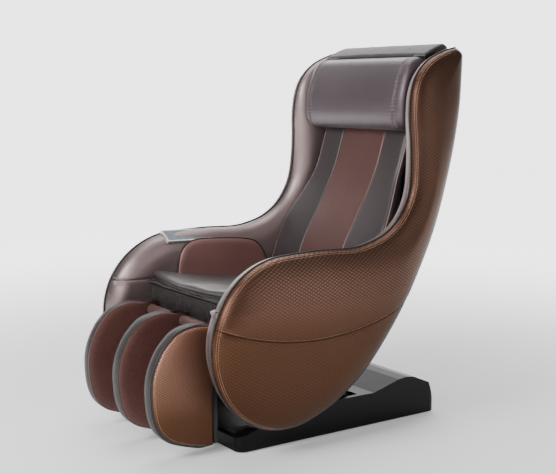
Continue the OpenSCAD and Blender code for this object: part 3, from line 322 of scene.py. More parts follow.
stripe = lambda f: 1.0 - abs(f.x).fade(0.0968, 0.0976)
bronze = embossed_hide("bronze_hide", "bronze_hide", BRONZE, GOLDEN, PAINTED_GLINT, 0.0150, seam=True)
# painted light: the leg faces take a copy of the bronze hide that is brightened most at the top
brightened_bronze = embossed_hide("bronze_face", "bronze_hide", shade(BRONZE, 2.9), shade(GOLDEN, 1.25),
                             shade(PAINTED_GLINT, 1.8), 0.0104)
# painted shade: the brown hide darkens to a fifth of its colour near the outer panels, where the strip faces
# forward
shaded_outer_strip = lambda f: abs(f.x).fade(0.262, 0.286)
brown = smooth_hide("brown_hide", "brown_hide", BROWN, metal=0.6, rough=0.34, second=shade(BROWN, 0.18),
                    where=shaded_outer_strip)
pillow_hide = smooth_hide("pillow_hide", "grey_hide", PILLOW_HIDE, metal=0.45, rough=0.34)
# painted light: the elbow pads take a brightened copy of the red hide
lit_elbow_hide = smooth_hide("lit_elbow_hide", "red_hide", rgb(0.270, 0.135, 0.122), metal=0.3, rough=0.42)
flap_hide = smooth_hide("flap_hide", "grey_hide", shade(PILLOW_HIDE, 0.38), metal=0.2, rough=0.58)
band = smooth_hide("back_hide", "grey_hide", GREY, metal=0.3, rough=0.42, second=RED, where=stripe)
red = smooth_hide("red_hide", "red_hide", RED, metal=0.25, rough=0.42)
seat_hide = smooth_hide("seat_hide", "seat_hide", SEAT, metal=0.3, rough=0.36)
# painted shade: the cushion under the topper takes a darkened copy of the seat hide
shaded_seat_hide = smooth_hide("shaded_seat_hide", "seat_hide", shade(SEAT, 0.3), metal=0.2, rough=0.45)
dark_piping = plain_finish("dark_piping", "grey_hide", rgb(0.014, 0.011, 0.011), 0.42)
light_piping = plain_finish("light_piping", "grey_hide", rgb(0.26, 0.18, 0.165), 0.4, metal=0.3)
pale_piping = plain_finish("pale_piping", "seat_hide", rgb(0.12, 0.10, 0.10), 0.4, metal=0.3)
grey_piping = plain_finish("grey_piping", "grey_hide", rgb(0.050, 0.036, 0.034), 0.4, metal=0.3)
copper_thread = plain_finish("copper_thread", "bronze_hide", rgb(0.50, 0.27, 0.17), 0.42, metal=0.55)
dark_thread = plain_finish("dark_thread", "brown_hide", rgb(0.05, 0.036, 0.034), 0.5)
cloth = cloth_finish()
deck = deck_finish()
paint = plain_finish("frame_paint", "frame_paint", rgb(0.010, 0.010, 0.011), 0.46, speckle=0.3, scale=500.0)
rubber = plain_finish("rubber_black", "rubber_black", rgb(0.018, 0.018, 0.019), 0.75, speckle=0.4)
roller_rubber = plain_finish("roller_rubber", "roller_rubber", rgb(0.045, 0.045, 0.048), 0.6, speckle=0.3)
moulded = plain_finish("moulded_black", "moulded_black", rgb(0.010, 0.010, 0.011), 0.5, speckle=0.5,
                       scale=700.0)
nylon = plain_finish("nylon_block", "nylon", rgb(0.66, 0.64, 0.58), 0.5)
steel = plain_finish("drawn_steel", "rail_steel", rgb(0.42, 0.43, 0.44), 0.34, metal=1.0,
                     brushed=(400, 20, 20))
chrome = plain_finish("rod_chrome", "rod_chrome", rgb(0.62, 0.63, 0.64), 0.12, metal=1.0)
alloy = plain_finish("cast_alloy", "cast_alloy", rgb(0.55, 0.55, 0.56), 0.42, metal=0.9, speckle=0.4)
silver = plain_finish("panel_silver", "panel_silver", rgb(0.62, 0.62, 0.64), 0.3, metal=0.8,
                      brushed=(30, 400, 30))
screen = screen_finish()
ply = wood_finish()


# ---------------------------------------------------------------- curves, in millimetres
EGG_Y, EGG_Z, EGG_R = -128, 290, 225
ARM_Z, TOP_Z, FRONT_Y, REAR_Y = 519, 1053, 303, 493
PANEL_X, PANEL_T, ARM_X, WING_X, PAD_X, LOW_X = 300, 45, 240, 231, 198, 257
SEAM_Z, GAP, LEAN = 390, 0.3, 0.058
PAD_BOW, PAD_HOLLOW = 38, 14
BACK_A, BACK_Y, BACK_Z = math.radians(17.2), 248, 480


def mix(a, b, t):
    return a + (b - a) * t


def smooth(t):
    t = min(1.0, max(0.0, t))
    return t * t * (3 - 2 * t)


def ease(t):
    """Half a wave from 0 to 1, which crowds points towards both ends."""
    return 0.5 - 0.5 * math.cos(math.pi * t)


def crown(u, p=2.2):
    """Rise of a padded edge: 0 at the edge and 1 where the face is flat."""
    u = np.clip(u, 0, 1)
    return (1 - (1 - u) ** p) ** (1 / p)


def curve(points, s):
    """Smooth curve from the second of the points to the last but one."""
    n = len(points) - 3
    x = min(1.0, max(0.0, s)) * n
    i = min(n - 1, int(x))
    t = x - i
    a, b, c, d = (Vector(p) for p in points[i:i + 4])
    return 0.5 * (2 * b + (c - a) * t + (2 * a - 5 * b + 4 * c - d) * t * t
                  + (3 * b - a - 3 * c + d) * t * t * t)


def closed_ends(points):
    p = [Vector(q) for q in points]
    return [2 * p[0] - p[1]] + p + [2 * p[-1] - p[-2]]


def egg(deg):
    a = math.radians(deg)
    return Vector((EGG_Y + EGG_R * math.cos(a), EGG_Z + EGG_R * math.sin(a)))


def arm_pt(f, g):
    return Vector((mix(EGG_Y, FRONT_Y, f), mix(ARM_Z, TOP_Z, g)))


def head_pt(f, g):
    return Vector((mix(FRONT_Y, REAR_Y, f), mix(ARM_Z, TOP_Z, g)))


def rear_pt(f, g):
    return Vector((mix(EGG_Y, REAR_Y, f), mix(EGG_Z - EGG_R, TOP_Z, g)))


FRONT = [egg(104), egg(92), arm_pt(0.253, 0), arm_pt(0.494, -0.005), arm_pt(0.645, 0.015),
         arm_pt(0.761, 0.049), arm_pt(0.86, 0.104), arm_pt(0.934, 0.18), arm_pt(0.982, 0.27),
         arm_pt(1, 0.385), arm_pt(1.002, 0.51), head_pt(-0.01, 0.635), head_pt(0.025, 0.755),
         head_pt(0.135, 0.85), head_pt(0.35, 0.925), head_pt(0.65, 0.973), head_pt(0.92, 0.997),
         head_pt(1.07, 1.006)]
REAR = [egg(256), egg(272), rear_pt(0.11, 0.012), rear_pt(0.256, 0.051), rear_pt(0.412, 0.125),
        rear_pt(0.56, 0.234), rear_pt(0.695, 0.362), rear_pt(0.808, 0.493), rear_pt(0.903, 0.653),
        rear_pt(0.968, 0.805), rear_pt(0.993, 0.926), rear_pt(1, 0.985), rear_pt(0.996, 1.04)]


def inner_x(z):
    """Half width of the space between the shells at a height."""
    if z < 200:
        return LOW_X
    if z < 300:
        return mix(LOW_X, ARM_X, smooth((z - 200) / 100))
    return mix(ARM_X, WING_X, smooth((z - ARM_Z) / 200))


def shell_x(z):
    """Half width of the plane between an outer panel and its covers at a height."""
    return PANEL_X - LEAN * max(0.0, z - SEAM_Z)


def pad_face(u):
    """Bow of the back pad: forward at its lower end and hollow below the pillow."""
    return mix(-PAD_BOW, PAD_HOLLOW, smooth((u + 60) / 330)) * (1 - smooth((u - 390) / 50))


def back_pt(x, n, u):
    """A point of the back: n goes back through the pad and u up along it."""
    return Vector((x, BACK_Y + n * math.cos(BACK_A) + u * math.sin(BACK_A),
                   BACK_Z - n * math.sin(BACK_A) + u * math.cos(BACK_A)))


def front_edge(s, cut=0.34, start=176):
    return egg(mix(start, 92, s / cut)) if s < cut else curve(FRONT, (s - cut) / (1 - cut))


def rear_edge(s, cut=0.34):
    return egg(mix(184, 272, s / cut)) if s < cut else curve(REAR, (s - cut) / (1 - cut))


def trace(f, n, lo=0.0, hi=1.0):
    return [f(mix(lo, hi, i / n)) for i in range(n + 1)]


def reach(points, line):
    """Distance of each point from a line of joined points."""
    p = np.array([tuple(q) for q in points])
    best = np.full(len(p), 1e9)
    ln = np.array([tuple(q) for q in line])
    for a, b in zip(ln[:-1], ln[1:]):
        v = b - a
        t = np.clip(((p - a) @ v) / max(v @ v, 1e-9), 0, 1)
        best = np.minimum(best, np.hypot(*(p - a - t[:, None] * v).T))
    return best


def inset(line, d):
    """The line moved sideways by d, to the right of its direction."""
    out = []
    for i, p in enumerate(line):
        v = (line[min(i + 1, len(line) - 1)] - line[max(i - 1, 0)]).normalized()
        out.append(p + Vector((v.y, -v.x)) * d)
    return out


# ---------------------------------------------------------------- mesh helpers
def grid(nu, nv, place):
    """A grid whose corners 0..1 are put in place, in millimetres."""
    bm = bmesh.new()
    bmesh.ops.create_grid(bm, x_segments=nu, y_segments=nv, size=0.5)
    for v in bm.verts:
        v.co = place(v.co.x + 0.5, v.co.y + 0.5)
    return bm


def close_back(bm, back):
    """Folds the open rim over to where back puts it, and fills it."""
    rim = [e for e in bm.edges if e.is_boundary]
    grown = bmesh.ops.extrude_edge_only(bm, edges=rim)["geom"]
    for v in (g for g in grown if isinstance(g, bmesh.types.BMVert)):
        v.co = back(v.co)
    bmesh.ops.remove_doubles(bm, verts=bm.verts, dist=0.02)
    bmesh.ops.holes_fill(bm, edges=[e for e in bm.edges if e.is_boundary], sides=0)
    return bm


def finish_piece(name, bm, finish, body, stands_for=(), flip=False):
    """Turns the mesh into a piece in metres that rides on a body."""
    bmesh.ops.scale(bm, vec=(-0.001 if flip else 0.001, 0.001, 0.001), verts=bm.verts)
    bmesh.ops.translate(bm, vec=(0, -MIDDLE, 0), verts=bm.verts)
    bmesh.ops.recalc_face_normals(bm, faces=bm.faces)
    for face in bm.faces:
        face.smooth = True
    mesh = bpy.data.meshes.new(name)
    bm.to_mesh(mesh)
    bm.free()
    piece = bpy.data.objects.new(name, mesh)
    bpy.context.collection.objects.link(piece)
    mesh.materials.append(finish.material)
    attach(piece, body)
    if stands_for:
        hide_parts(*stands_for)
    return piece


def tube(points, radius, ring=3):
    """A round tube along points in millimetres, as a mesh."""
    data = bpy.data.curves.new("tube", "CURVE")
    data.dimensions = "3D"
    data.bevel_depth, data.bevel_resolution = radius, ring
    spline = data.splines.new("POLY")
    spline.points.add(len(points) - 1)
    for at, p in zip(spline.points, points):
        at.co = (*p, 1)
    path = bpy.data.objects.new("tube", data)
    mesh = path.to_mesh()
    bm = bmesh.new()
    bm.from_mesh(mesh)
    path.to_mesh_clear()
    bpy.data.objects.remove(path)
    bpy.data.curves.remove(data)
    bmesh.ops.remove_doubles(bm, verts=bm.verts, dist=0.001)
    bmesh.ops.holes_fill(bm, edges=[e for e in bm.edges if e.is_boundary], sides=0)
    return bm


def resample(points, step):
    """Points a fixed step apart along a line."""
    out, left = [points[0]], step
    for a, b in zip(points[:-1], points[1:]):
        length = (b - a).length
        while left < length:
            out.append(a.lerp(b, left / length))
            left += step
        left -= length
    return out


def stitches(points, pitch, length, radius):
    """A row of short round stitches along a line."""
    bm = bmesh.new()
    dots = resample(points, pitch)
    for a, b in zip(dots[:-1], dots[1:]):
        v = (b - a).normalized()
        turn = v.to_track_quat("Z", "Y").to_matrix().to_4x4()
        bmesh.ops.create_cone(bm, cap_ends=True, segments=5, radius1=radius, radius2=radius * 0.8,
                              depth=length, matrix=Matrix.Translation((a + b) / 2) @ turn)
    return bm


def thicken(piece, wall):
    """Gives a sheet its wall, in metres, half of it to each side."""
    shell = piece.modifiers.new("wall", "SOLIDIFY")
    shell.thickness, shell.offset = wall, 0


def soften(bm, times):
    """Evens out a face and leaves its rim where it is."""
    inner = [v for v in bm.verts if not v.is_boundary]
    for _ in range(times):
        bmesh.ops.smooth_vert(bm, verts=inner, factor=0.5, use_axis_x=True, use_axis_y=True,
                              use_axis_z=True)


def crease(p, size, depth):
    """Slow unevenness of stuffed hide."""
    return noise.noise(p / size) * depth


def crowned(first, second, nu, nv, x0, edge, rise, bands, times=4, wrinkle=0.5):
    """Padded face between two edges in Y and Z, rising from x0 along X.

    Each band is a line, the width over which the face rises from it, and how high it starts.
    """
    flat = grid(nu, nv, lambda s, t: Vector((0, *mix(
        first(s), second(s), ease(t)))))
    spots = [(v.co.y, v.co.z) for v in flat.verts]
    lift = np.ones(len(spots))
    for line, width, start in bands:
        lift = lift * (start + (1 - start) * crown(reach(spots, line) / width))
    for v, k in zip(flat.verts, lift):
        v.co.x = edge + (rise(v.co.z) - edge) * k
    soften(flat, times)
    for v, k in zip(flat.verts, lift):
        v.co.x += x0 + crease(v.co, 60, wrinkle) * min(1, k * 1.2) - wrinkle * 0.6
    return flat


def lean_in(bm):
    """Leans the part of a shell above the seam inwards."""
    for v in bm.verts:
        v.co.x -= LEAN * max(0.0, v.co.z - SEAM_Z)
    return bm


# ---------------------------------------------------------------- outer panels
# Thickness of a panel at its edge, and the width over which its face rises from there
PANEL_EDGE, PANEL_SOFT = 5, 95


def panel_outline():
    return trace(front_edge, 220) + trace(rear_edge, 220)[::-1] + [front_edge(0)]


def outer_panel():
    bm = crowned(front_edge, rear_edge, 200, 90, PANEL_X + GAP, PANEL_EDGE, lambda z: PANEL_T - GAP,
                 [(panel_outline(), PANEL_SOFT, 0)], times=8)
    for v in bm.verts:
        y, z = v.co.y / 1000, v.co.z / 1000
        d = abs(z - panel_seam_z(y)) * 1000
        v.co.x -= 1.6 * math.exp(-(d / 7) ** 2) * min(1, max(0, (v.co.x - PANEL_X - PANEL_EDGE) / 20))
    return lean_in(close_back(bm, lambda p: Vector((PANEL_X + GAP, p.y, p.z))))


def on_panel(line, lift=0.0):
    """Puts points in Y and Z on the outer panel's face."""
    k = crown(reach(line, panel_outline()) / PANEL_SOFT)
    return [Vector((shell_x(p[1]) + GAP + PANEL_EDGE + (PANEL_T - GAP - PANEL_EDGE) * h + lift, *p))
            for h, p in zip(k, line)]


def shell_front():
    """Front outline from under the round part up to the wing top."""
    return trace(lambda s: egg(mix(268, 176, s)), 60)[:-1] + trace(front_edge, 200)


for side, flip in (("left", False), ("right", True)):
    finish_piece("outer_panel_" + side, outer_panel(), bronze, "seat", ["side_panel_" + side], flip)
    rim = [Vector((shell_x(p[1]) + 1.0, *p)) for p in inset(shell_front(), -0.8)]
    finish_piece("shell_piping_" + side, tube(rim, 2.6), dark_piping, "seat", flip=flip)
    for k, d in enumerate((3.5, 7)):
        seam = on_panel(inset(shell_front()[8:-6], d), 0.2)
        finish_piece("edge_stitch_%d_%s" % (k, side), stitches(seam, 6.0, 4.2, 0.5), copper_thread,
                     "seat", flip=flip)
    ys = [mix(-338, 278, i / 160) for i in range(161)]
    level = on_panel([Vector((y, panel_seam_z(y / 1000) * 1000 + 3.2)) for y in ys], -1.0)
    finish_piece("level_stitch_" + side, stitches(level, 6.0, 4.0, 0.38), copper_thread, "seat", flip=flip)


# ---------------------------------------------------------------- arms and wings
# Width over which a cover rises from its outline; and at the level seam, with how high it starts
ARM_SOFT, SEAM_SOFT = 62, (9, 0.93)


def upper_edge(s):
    return front_edge(s, 0.3, 152.6)


def upper_base():
    """Lower and rear edge of the upper arm and wing cover."""
    zs = SEAM_Z + 0.4
    f, r = egg(153.4).x + 4, REAR[6].x - 18
    return closed_ends([(f, zs), (mix(f, r, 0.25), zs), (mix(f, r, 0.5), zs), (mix(f, r, 0.72), zs),
                        (mix(f, r, 0.88), zs), (mix(f, r, 0.97), zs + 6), REAR[6] + Vector((6, 26)),
                        REAR[7], REAR[8], REAR[9], REAR[10], REAR[11]])


def arm_upper():
    base = upper_base()
    low = lambda s: curve(base, s)
    bm = crowned(upper_edge, low, 150, 64, 0, 6, lambda z: shell_x(z) - inner_x(z),
                 [(trace(upper_edge, 160), ARM_SOFT, 0), (trace(low, 120), *SEAM_SOFT)], times=5, wrinkle=0.7)
    for v in bm.verts:
        v.co.x = PANEL_X - v.co.x
    return lean_in(close_back(bm, lambda p: Vector((PANEL_X - 0.1, p.y, p.z))))


def arm_lower():
    zs = SEAM_Z - 0.4
    a0 = 156.5
    f, r = egg(a0).x + 5, REAR[6].x - 24
    base = [egg(a0 - 12 + 12 * i) for i in range(11)] + [
        REAR[2], REAR[3], REAR[4], REAR[5], REAR[5].lerp(REAR[6], 0.72), REAR[6]]
    top = lambda s: Vector((mix(f, r, s), zs))
    low = lambda s: curve(base, s)
    bm = crowned(top, low, 110, 50, 0, 6, lambda z: PANEL_X - inner_x(z),
                 [(trace(top, 20), *SEAM_SOFT), (trace(low, 140), 42, 0)], times=4, wrinkle=0.7)
    for v in bm.verts:
        v.co.x = PANEL_X - v.co.x
    return close_back(bm, lambda p: Vector((PANEL_X - 0.1, p.y, p.z)))


def arm_pad():
    y0, z0 = EGG_Y - 14, 353
    y1 = EGG_Y + 284
    top = closed_ends([(y0, z0 + 20), (y0 + 1, z0 + 62), (y0 + 12, z0 + 104), (y0 + 34, z0 + 130),
                       (y0 + 72, z0 + 140), (y0 + 140, z0 + 138), (y0 + 215, z0 + 132),
                       (y0 + 268, z0 + 120), (y0 + 297, z0 + 92), (y1 + 18, z0 + 50), (y1 + 18, z0 + 16)])
    edge = lambda s: curve(top, s)
    base = lambda s: Vector((mix(y0 + 8, y1, s), z0))
    bm = crowned(edge, base, 80, 30, 0, 2.5, lambda z: 9.5,
                 [(trace(edge, 90), 16, 0), (trace(base, 10), 12, 0)], times=3, wrinkle=0.4)
    for v in bm.verts:
        v.co.x = ARM_X - GAP - v.co.x
    pipe = [Vector((ARM_X - 2.4, *p)) for p in inset(trace(edge, 90), -1.2)]
    return close_back(bm, lambda p: Vector((ARM_X - GAP, p.y, p.z))), pipe


def on_arm(line, bands, lift=0.3):
    """Puts points in Y and Z on the inside face of the upper arm cover."""
    k = np.ones(len(line))
    for edge, width, start in bands:
        k = k * (start + (1 - start) * crown(reach(line, edge) / width))
    return [Vector((shell_x(p[1]) - (6 + (shell_x(p[1]) - inner_x(p[1]) - 6) * h) - lift, *p))
            for h, p in zip(k, line)]


for side, flip in (("left", False), ("right", True)):
    finish_piece("arm_cover_" + side, arm_upper(), brown, "seat", ["arm_upper_" + side], flip)
    finish_piece("arm_base_" + side, arm_lower(), brown, "seat", ["arm_lower_" + side], flip)
    pad, pipe = arm_pad()
    finish_piece("elbow_pad_" + side, pad, lit_elbow_hide, "seat", ["arm_pad_" + side], flip)
    finish_piece("elbow_piping_" + side, tube(pipe, 2.2), dark_piping, "seat", flip=flip)
    joint = [Vector((y, SEAM_Z + 5)) for y in np.linspace(egg(152).x + 4, 250, 60)]
    level = [Vector((-330, SEAM_Z)), Vector((280, SEAM_Z))]
    joint = on_arm(joint, [(trace(upper_edge, 160), ARM_SOFT, 0), (level, *SEAM_SOFT)])
    finish_piece("arm_stitch_" + side, stitches(joint, 6.5, 4.4, 0.5), dark_thread, "seat", flip=flip)


# ---------------------------------------------------------------- back
STRIPE = 97.5
PAD_LOW, PAD_UP = -125, 585


def pad_rear(u):
    return mix(32, 16, smooth((u - 450) / 110))


def pad_half(u):
    return mix(ARM_X, PAD_X, smooth((BACK_Z + u * math.cos(BACK_A) - ARM_Z) / 200)) - 2.2


def back_front(x, u):
    """Depth of the back pad's face at a place across and up it."""
    w = pad_half(u)
    side = max(0.0, w - abs(x))
    groove = abs(abs(x) - STRIPE)
    end = min(u - PAD_LOW, PAD_UP - u)
    deep = 14 * (1 - float(crown(side / 14)))
    deep += 5 * (1 - float(crown(groove / 7)))
    deep += (8 if u > 0 else 12) * (1 - float(crown(end / 14)))
    swell = 2.4 * (1 - ((abs(x) - STRIPE) / (w - STRIPE) * 2 - 1) ** 2) if abs(x) > STRIPE \
        else 2.0 * (1 - (x / STRIPE) ** 2)
    face = deep - swell * smooth(side / 20) * smooth(end / 30) + pad_face(u)
    return min(face, pad_rear(u) - 3)


def back_pad():
    def place(s, t):
        u = mix(PAD_LOW, PAD_UP, ease(s))
        w = pad_half(u)
        marks = [-1, -STRIPE / w, STRIPE / w, 1]
        i = min(2, int(t * 3))
        q = mix(marks[i], marks[i + 1], ease(t * 3 - i))
        p = back_pt(q * w, 0, u)
        return p + (back_pt(0, 1, 0) - back_pt(0, 0, 0)) * (back_front(q * w, u) + crease(p, 70, 0.5))

    def rear(p):
        u = (p.y - BACK_Y) * math.sin(BACK_A) + (p.z - BACK_Z) * math.cos(BACK_A)
        return back_pt(p.x, pad_rear(u), u)

    return close_back(grid(150, 108, place), rear)


finish_piece("back_cushion", back_pad(), band, "seat", ["back_pad"])
for k in (-1, 1):
    side = "left" if k > 0 else "right"
    line = [back_pt(k * STRIPE, back_front(STRIPE, u) - 0.4, u) for u in np.linspace(-116, 470, 96)]
    finish_piece("stripe_piping_" + side, tube(line, 1.5), light_piping, "seat")
    line = [back_pt(k * (pad_half(u) - 2.6), 5.2 + pad_face(u), u) for u in np.linspace(-112, 470, 96)]
    finish_piece("band_piping_" + side, tube(line, 1.7), light_piping, "seat")


def loft(nu, nv, place):
    """A closed bolster: place takes 0..1 along it and 0..1 round it."""
    bm = grid(nu, nv, place)
    bmesh.ops.remove_doubles(bm, verts=bm.verts, dist=0.05)
    bmesh.ops.holes_fill(bm, edges=[e for e in bm.edges if e.is_boundary], sides=0)
    return bm


PILLOW = [(-1, 362), (-20, 352), (-40, 358), (-56, 382), (-67, 425), (-71, 475), (-68, 515),
          (-60, 541), (-40, 557), (-18, 567), (-1, 570), (-1, 500), (-1, 420)]
PILLOW_W, PILLOW_SEAM = 229, 196


def pillow():
    ring = [Vector(p) for p in PILLOW]
    ring = [ring[-1]] + ring + [ring[0], ring[1]]
    mid = Vector((-30, 462))

    def place(s, t):
        x = ease(s) * 2 - 1
        p = curve(ring, t)
        end = max(0.0, (abs(x) * PILLOW_W - PILLOW_SEAM) / (PILLOW_W - PILLOW_SEAM))
        k = 0.62 + 0.38 * float(crown(1 - end, 2.4)) if end > 0 else 1.0
        front = smooth((-p[0] - 4) / 16)
        groove = math.exp(-((abs(x) * PILLOW_W - PILLOW_SEAM) / 2.6) ** 2)
        pucker = math.sin(t * 360) * math.exp(-(abs(abs(x) * PILLOW_W - PILLOW_SEAM) / 11) ** 1.5)
        q = mid + (p - mid) * k
        out = (p - mid).normalized() * (-3.4 * groove + 1.0 * pucker) * front
        sag = 2.0 * math.sin(math.pi * (x + 1) / 2) * front
        q = Vector((min(q[0] - sag * 0.8, -0.4), q[1])) + out
        return back_pt(x * PILLOW_W, q[0], q[1])

    return loft(150, 280, place)


finish_piece("head_pillow", pillow(), pillow_hide, "seat", ["pillow"])


PILLOW_TOP = back_pt(0, -18, 567)


def top_flap():
    a = PILLOW_TOP

    def place(s, t):
        x = (t * 2 - 1) * (WING_X - 2)
        e = max(0.0, (abs(t * 2 - 1) - 0.95) / 0.05)
        z = mix(a.z + 10, TOP_Z + 14, s) + 4 * math.sin(math.pi * s) - 4 * e * e
        z -= 3 * (t * 2 - 1) ** 2 * (1 - s)
        z -= 8 * smooth((s - 0.86) / 0.14) ** 2 + 7 * smooth((0.08 - s) / 0.08) ** 2
        return Vector((x, mix(a.y - 5, REAR_Y - 15, s), z + crease(Vector((x, s * 90, 0)), 50, 0.8)))

    low = lambda p: Vector((p.x, p.y, mix(a.z + 1.6, TOP_Z - 4.6, (p.y - a.y + 5) / (REAR_Y - 10 - a.y))))
    return close_back(grid(30, 60, place), low)


finish_piece("head_flap", top_flap(), flap_hide, "seat", ["top_flap"])


def gusset():
    """Cloth that hangs from the flap's edge beside the head of the pad."""
    a, drop = PILLOW_TOP, 62

    def place(s, t):
        y = mix(a.y - 2, REAR_Y - 18, t)
        top = mix(a.z + 4, TOP_Z - 3, t)
        return Vector((WING_X - 7 + 1.2 * math.sin(t * 9) * s, y, top - drop * s * (1 - 0.35 * t)))

    return grid(12, 24, place)


CLOTH_WALL = 0.0012
for side, flip in (("left", False), ("right", True)):
    hung = finish_piece("head_gusset_" + side, gusset(), cloth, "seat", flip=flip)
    thicken(hung, CLOTH_WALL)


# ---------------------------------------------------------------- seat
SEAT_W, SEAT_FRONT = 231, -215
BOARD_Z, CUSHION_Z, TOPPER_Z, SEAT_DROP = 345, 400.3, 420.6, 38
CUSHION_FRONT, CUSHION_REAR = SEAT_FRONT - 23, BACK_Y - 41 - PAD_BOW


def seat_fall(v):
    """Drop of the seat below its front edge: it sinks soonest behind the edge."""
    return SEAT_DROP * v + 15 * math.sin(math.pi * min(1.0, max(0.0, v))) ** 1.5


def seat_cushion():
    front, rear = CUSHION_FRONT, CUSHION_REAR

    def place(s, t):
        v, c = ease(s), -math.cos(math.pi * t)
        side = (1 - abs(c)) * SEAT_W
        near = v * (rear - front)
        k = float(crown(min(side / 22, near / 16 + 0.05) if v < 0.5 else side / 22))
        bulge = 2.0 * math.sin(math.pi * min(1, near / 30)) if near < 30 else 0
        return Vector((c * SEAT_W, mix(front, rear, v) - bulge * 0.4,
                       CUSHION_Z - seat_fall(v) - 14 * (1 - k)
                       + (crease(Vector((c * 200, v * 400, 0)), 60, 0.8) - 0.6) * k))

    def low(p):
        v = (p.y - front) / (rear - front)
        return Vector((p.x, p.y - 16 * v, BOARD_Z + GAP))

    return close_back(grid(60, 60, place), low)


def fall_at(y):
    """Drop of the seat at a place from front to rear."""
    return seat_fall((y - CUSHION_FRONT) / (CUSHION_REAR - CUSHION_FRONT))


def topper_front(c):
    return SEAT_FRONT - 10 - 33 * math.cos(math.radians(90 * c)) ** 0.8


def seat_topper():
    rear = BACK_Y - 39 - PAD_BOW

    def place(s, t):
        v, c = ease(s), -math.cos(math.pi * t)
        front = topper_front(c)
        side, near, far = (1 - abs(c)) * SEAT_W, v * (rear - front), (1 - v) * (rear - front)
        k = float(crown(min(side / 24, near / 20, far / 20) + 0.04))
        dip = -7 * math.cos(math.radians(90 * c)) * (1 - smooth(v * 1.6))
        z = TOPPER_Z + dip - 11 * (1 - k) - 6 * smooth(v) - fall_at(mix(front, rear, v))
        fold = 1.6 * math.sin(c * 9 + v * 7) * math.exp(-((v - 0.16) / 0.13) ** 2)
        return Vector((c * SEAT_W, mix(front, rear, v),
                       z + fold * k + crease(Vector((c * 231, v * 460, 3)), 75, 2.2) * k))

    def low(p):
        c = p.x / SEAT_W
        over = p.y < SEAT_FRONT - 26
        fall = fall_at(p.y) if p.y > CUSHION_FRONT else 0
        return Vector((p.x * 0.995, p.y + (1.5 if over else 0), CUSHION_Z + GAP - fall - (7 if over else 0)))

    return close_back(grid(70, 80, place), low)


def seat_valance():
    """Wrinkled cloth from the cushion's front edge down to a hem that dips in the middle."""
    y0 = SEAT_FRONT - 23.4

    def place(s, t):
        c = t * 2 - 1
        fold = math.sin(c * 21 + 0.9 * math.sin(c * 7)) + 0.4 * math.sin(c * 47 + 2)
        hem = mix(322, 338, smooth((abs(c) * SEAT_W - 192) / 16))
        z = mix(CUSHION_Z - 24, hem, s) - 3 * s * math.cos(math.pi / 2 * c) + 1.5 * s * math.sin(c * 30)
        bag = math.sin(math.pi * s) * 5
        wrinkle = crease(Vector((c * 230, 7, z)), 17, 2.6) * math.sin(math.pi * min(1, s * 1.2))
        flare = 2.0 * max(0, fold) * s * (1.15 - s * 0.5)
        return Vector((c * (SEAT_W - 2), y0 - 3.4 - bag - wrinkle - flare, z))

    return grid(20, 190, place)


# the cushion gets the darkened seat hide, painted shade under the topper
finish_piece("seat_base", seat_cushion(), shaded_seat_hide, "seat", ["seat_cushion"])
finish_piece("seat_top", seat_topper(), seat_hide, "seat", ["seat_topper"])
# The piping sinks in where the middle wall of the leg rest swings up to it
give = lambda c: 0.5 + 3.2 * smooth((60 - abs(c) * SEAT_W) / 30)
rim = [Vector((c * (SEAT_W - 3), topper_front(c) + give(c), TOPPER_Z - 20 - 6 * math.cos(math.pi / 2 * c)))
       for c in np.linspace(-0.99, 0.99, 60)]
finish_piece("topper_piping", tube(rim, 3.2), dark_piping, "seat")
rim = [Vector((c * (SEAT_W - 3), SEAT_FRONT - 24.5 - math.sin(c * 11),
               CUSHION_Z - 15 - 3 * math.cos(math.pi / 2 * c) + 1.6 * math.sin(c * 13)))
       for c in np.linspace(-1, 1, 90)]
finish_piece("cushion_piping", tube(rim, 1.3), pale_piping, "seat")
corner = [(-226 + 12 * (1 - math.cos(a)), 364 + 12 * math.sin(a)) for a in np.linspace(0, math.pi / 2, 8)]
rim = [(-226, 340)] + corner + [(-x, z) for x, z in corner[::-1]] + [(226, 340)]
rim = [Vector((x, SEAT_FRONT - 28.4, z - 4 * (1 - (x / 226) ** 2))) for x, z in rim]
finish_piece("valance_piping", tube(resample(rim, 6), 1.3), grey_piping, "seat")
valance = finish_piece("front_valance", seat_valance(), cloth, "seat", ["seat_valance"])
thicken(valance, CLOTH_WALL)


# ---------------------------------------------------------------- leg rest
HINGE_Y, HINGE_Z = -273, 318
LEG_Y, LEG_D, LEG_TOP, LEG_LOW = -285, 182, 343, 19
LEG_PITCH, LEG_W, FACE_T = 182, 45, 7
LEG_LINE = closed_ends([(LEG_Y - a * LEG_D, mix(LEG_LOW, LEG_TOP, b)) for a, b in (
    (0.08, 0.99), (0.286, 1), (0.55, 0.966), (0.73, 0.886), (0.86, 0.79), (0.967, 0.651), (1, 0.5),
    (0.967, 0.309), (0.874, 0.179), (0.72, 0.096), (0.55, 0.052), (0.253, 0.003), (0.08, 0))])
LEG_OUT = LEG_PITCH + LEG_W / 2 - FACE_T
LEG_MID = Vector((LEG_Y - 60, 180))
# Half width of the strip round a wall's rim, as a share of the wall's
RIM_SHARE = 0.74
leg_edge = lambda s: curve(LEG_LINE, s)
leg_rear = lambda s: Vector((LEG_Y - GAP + 34 * smooth((0.13 - s) / 0.13), mix(LEG_TOP - 5, LEG_LOW + 3, s)))


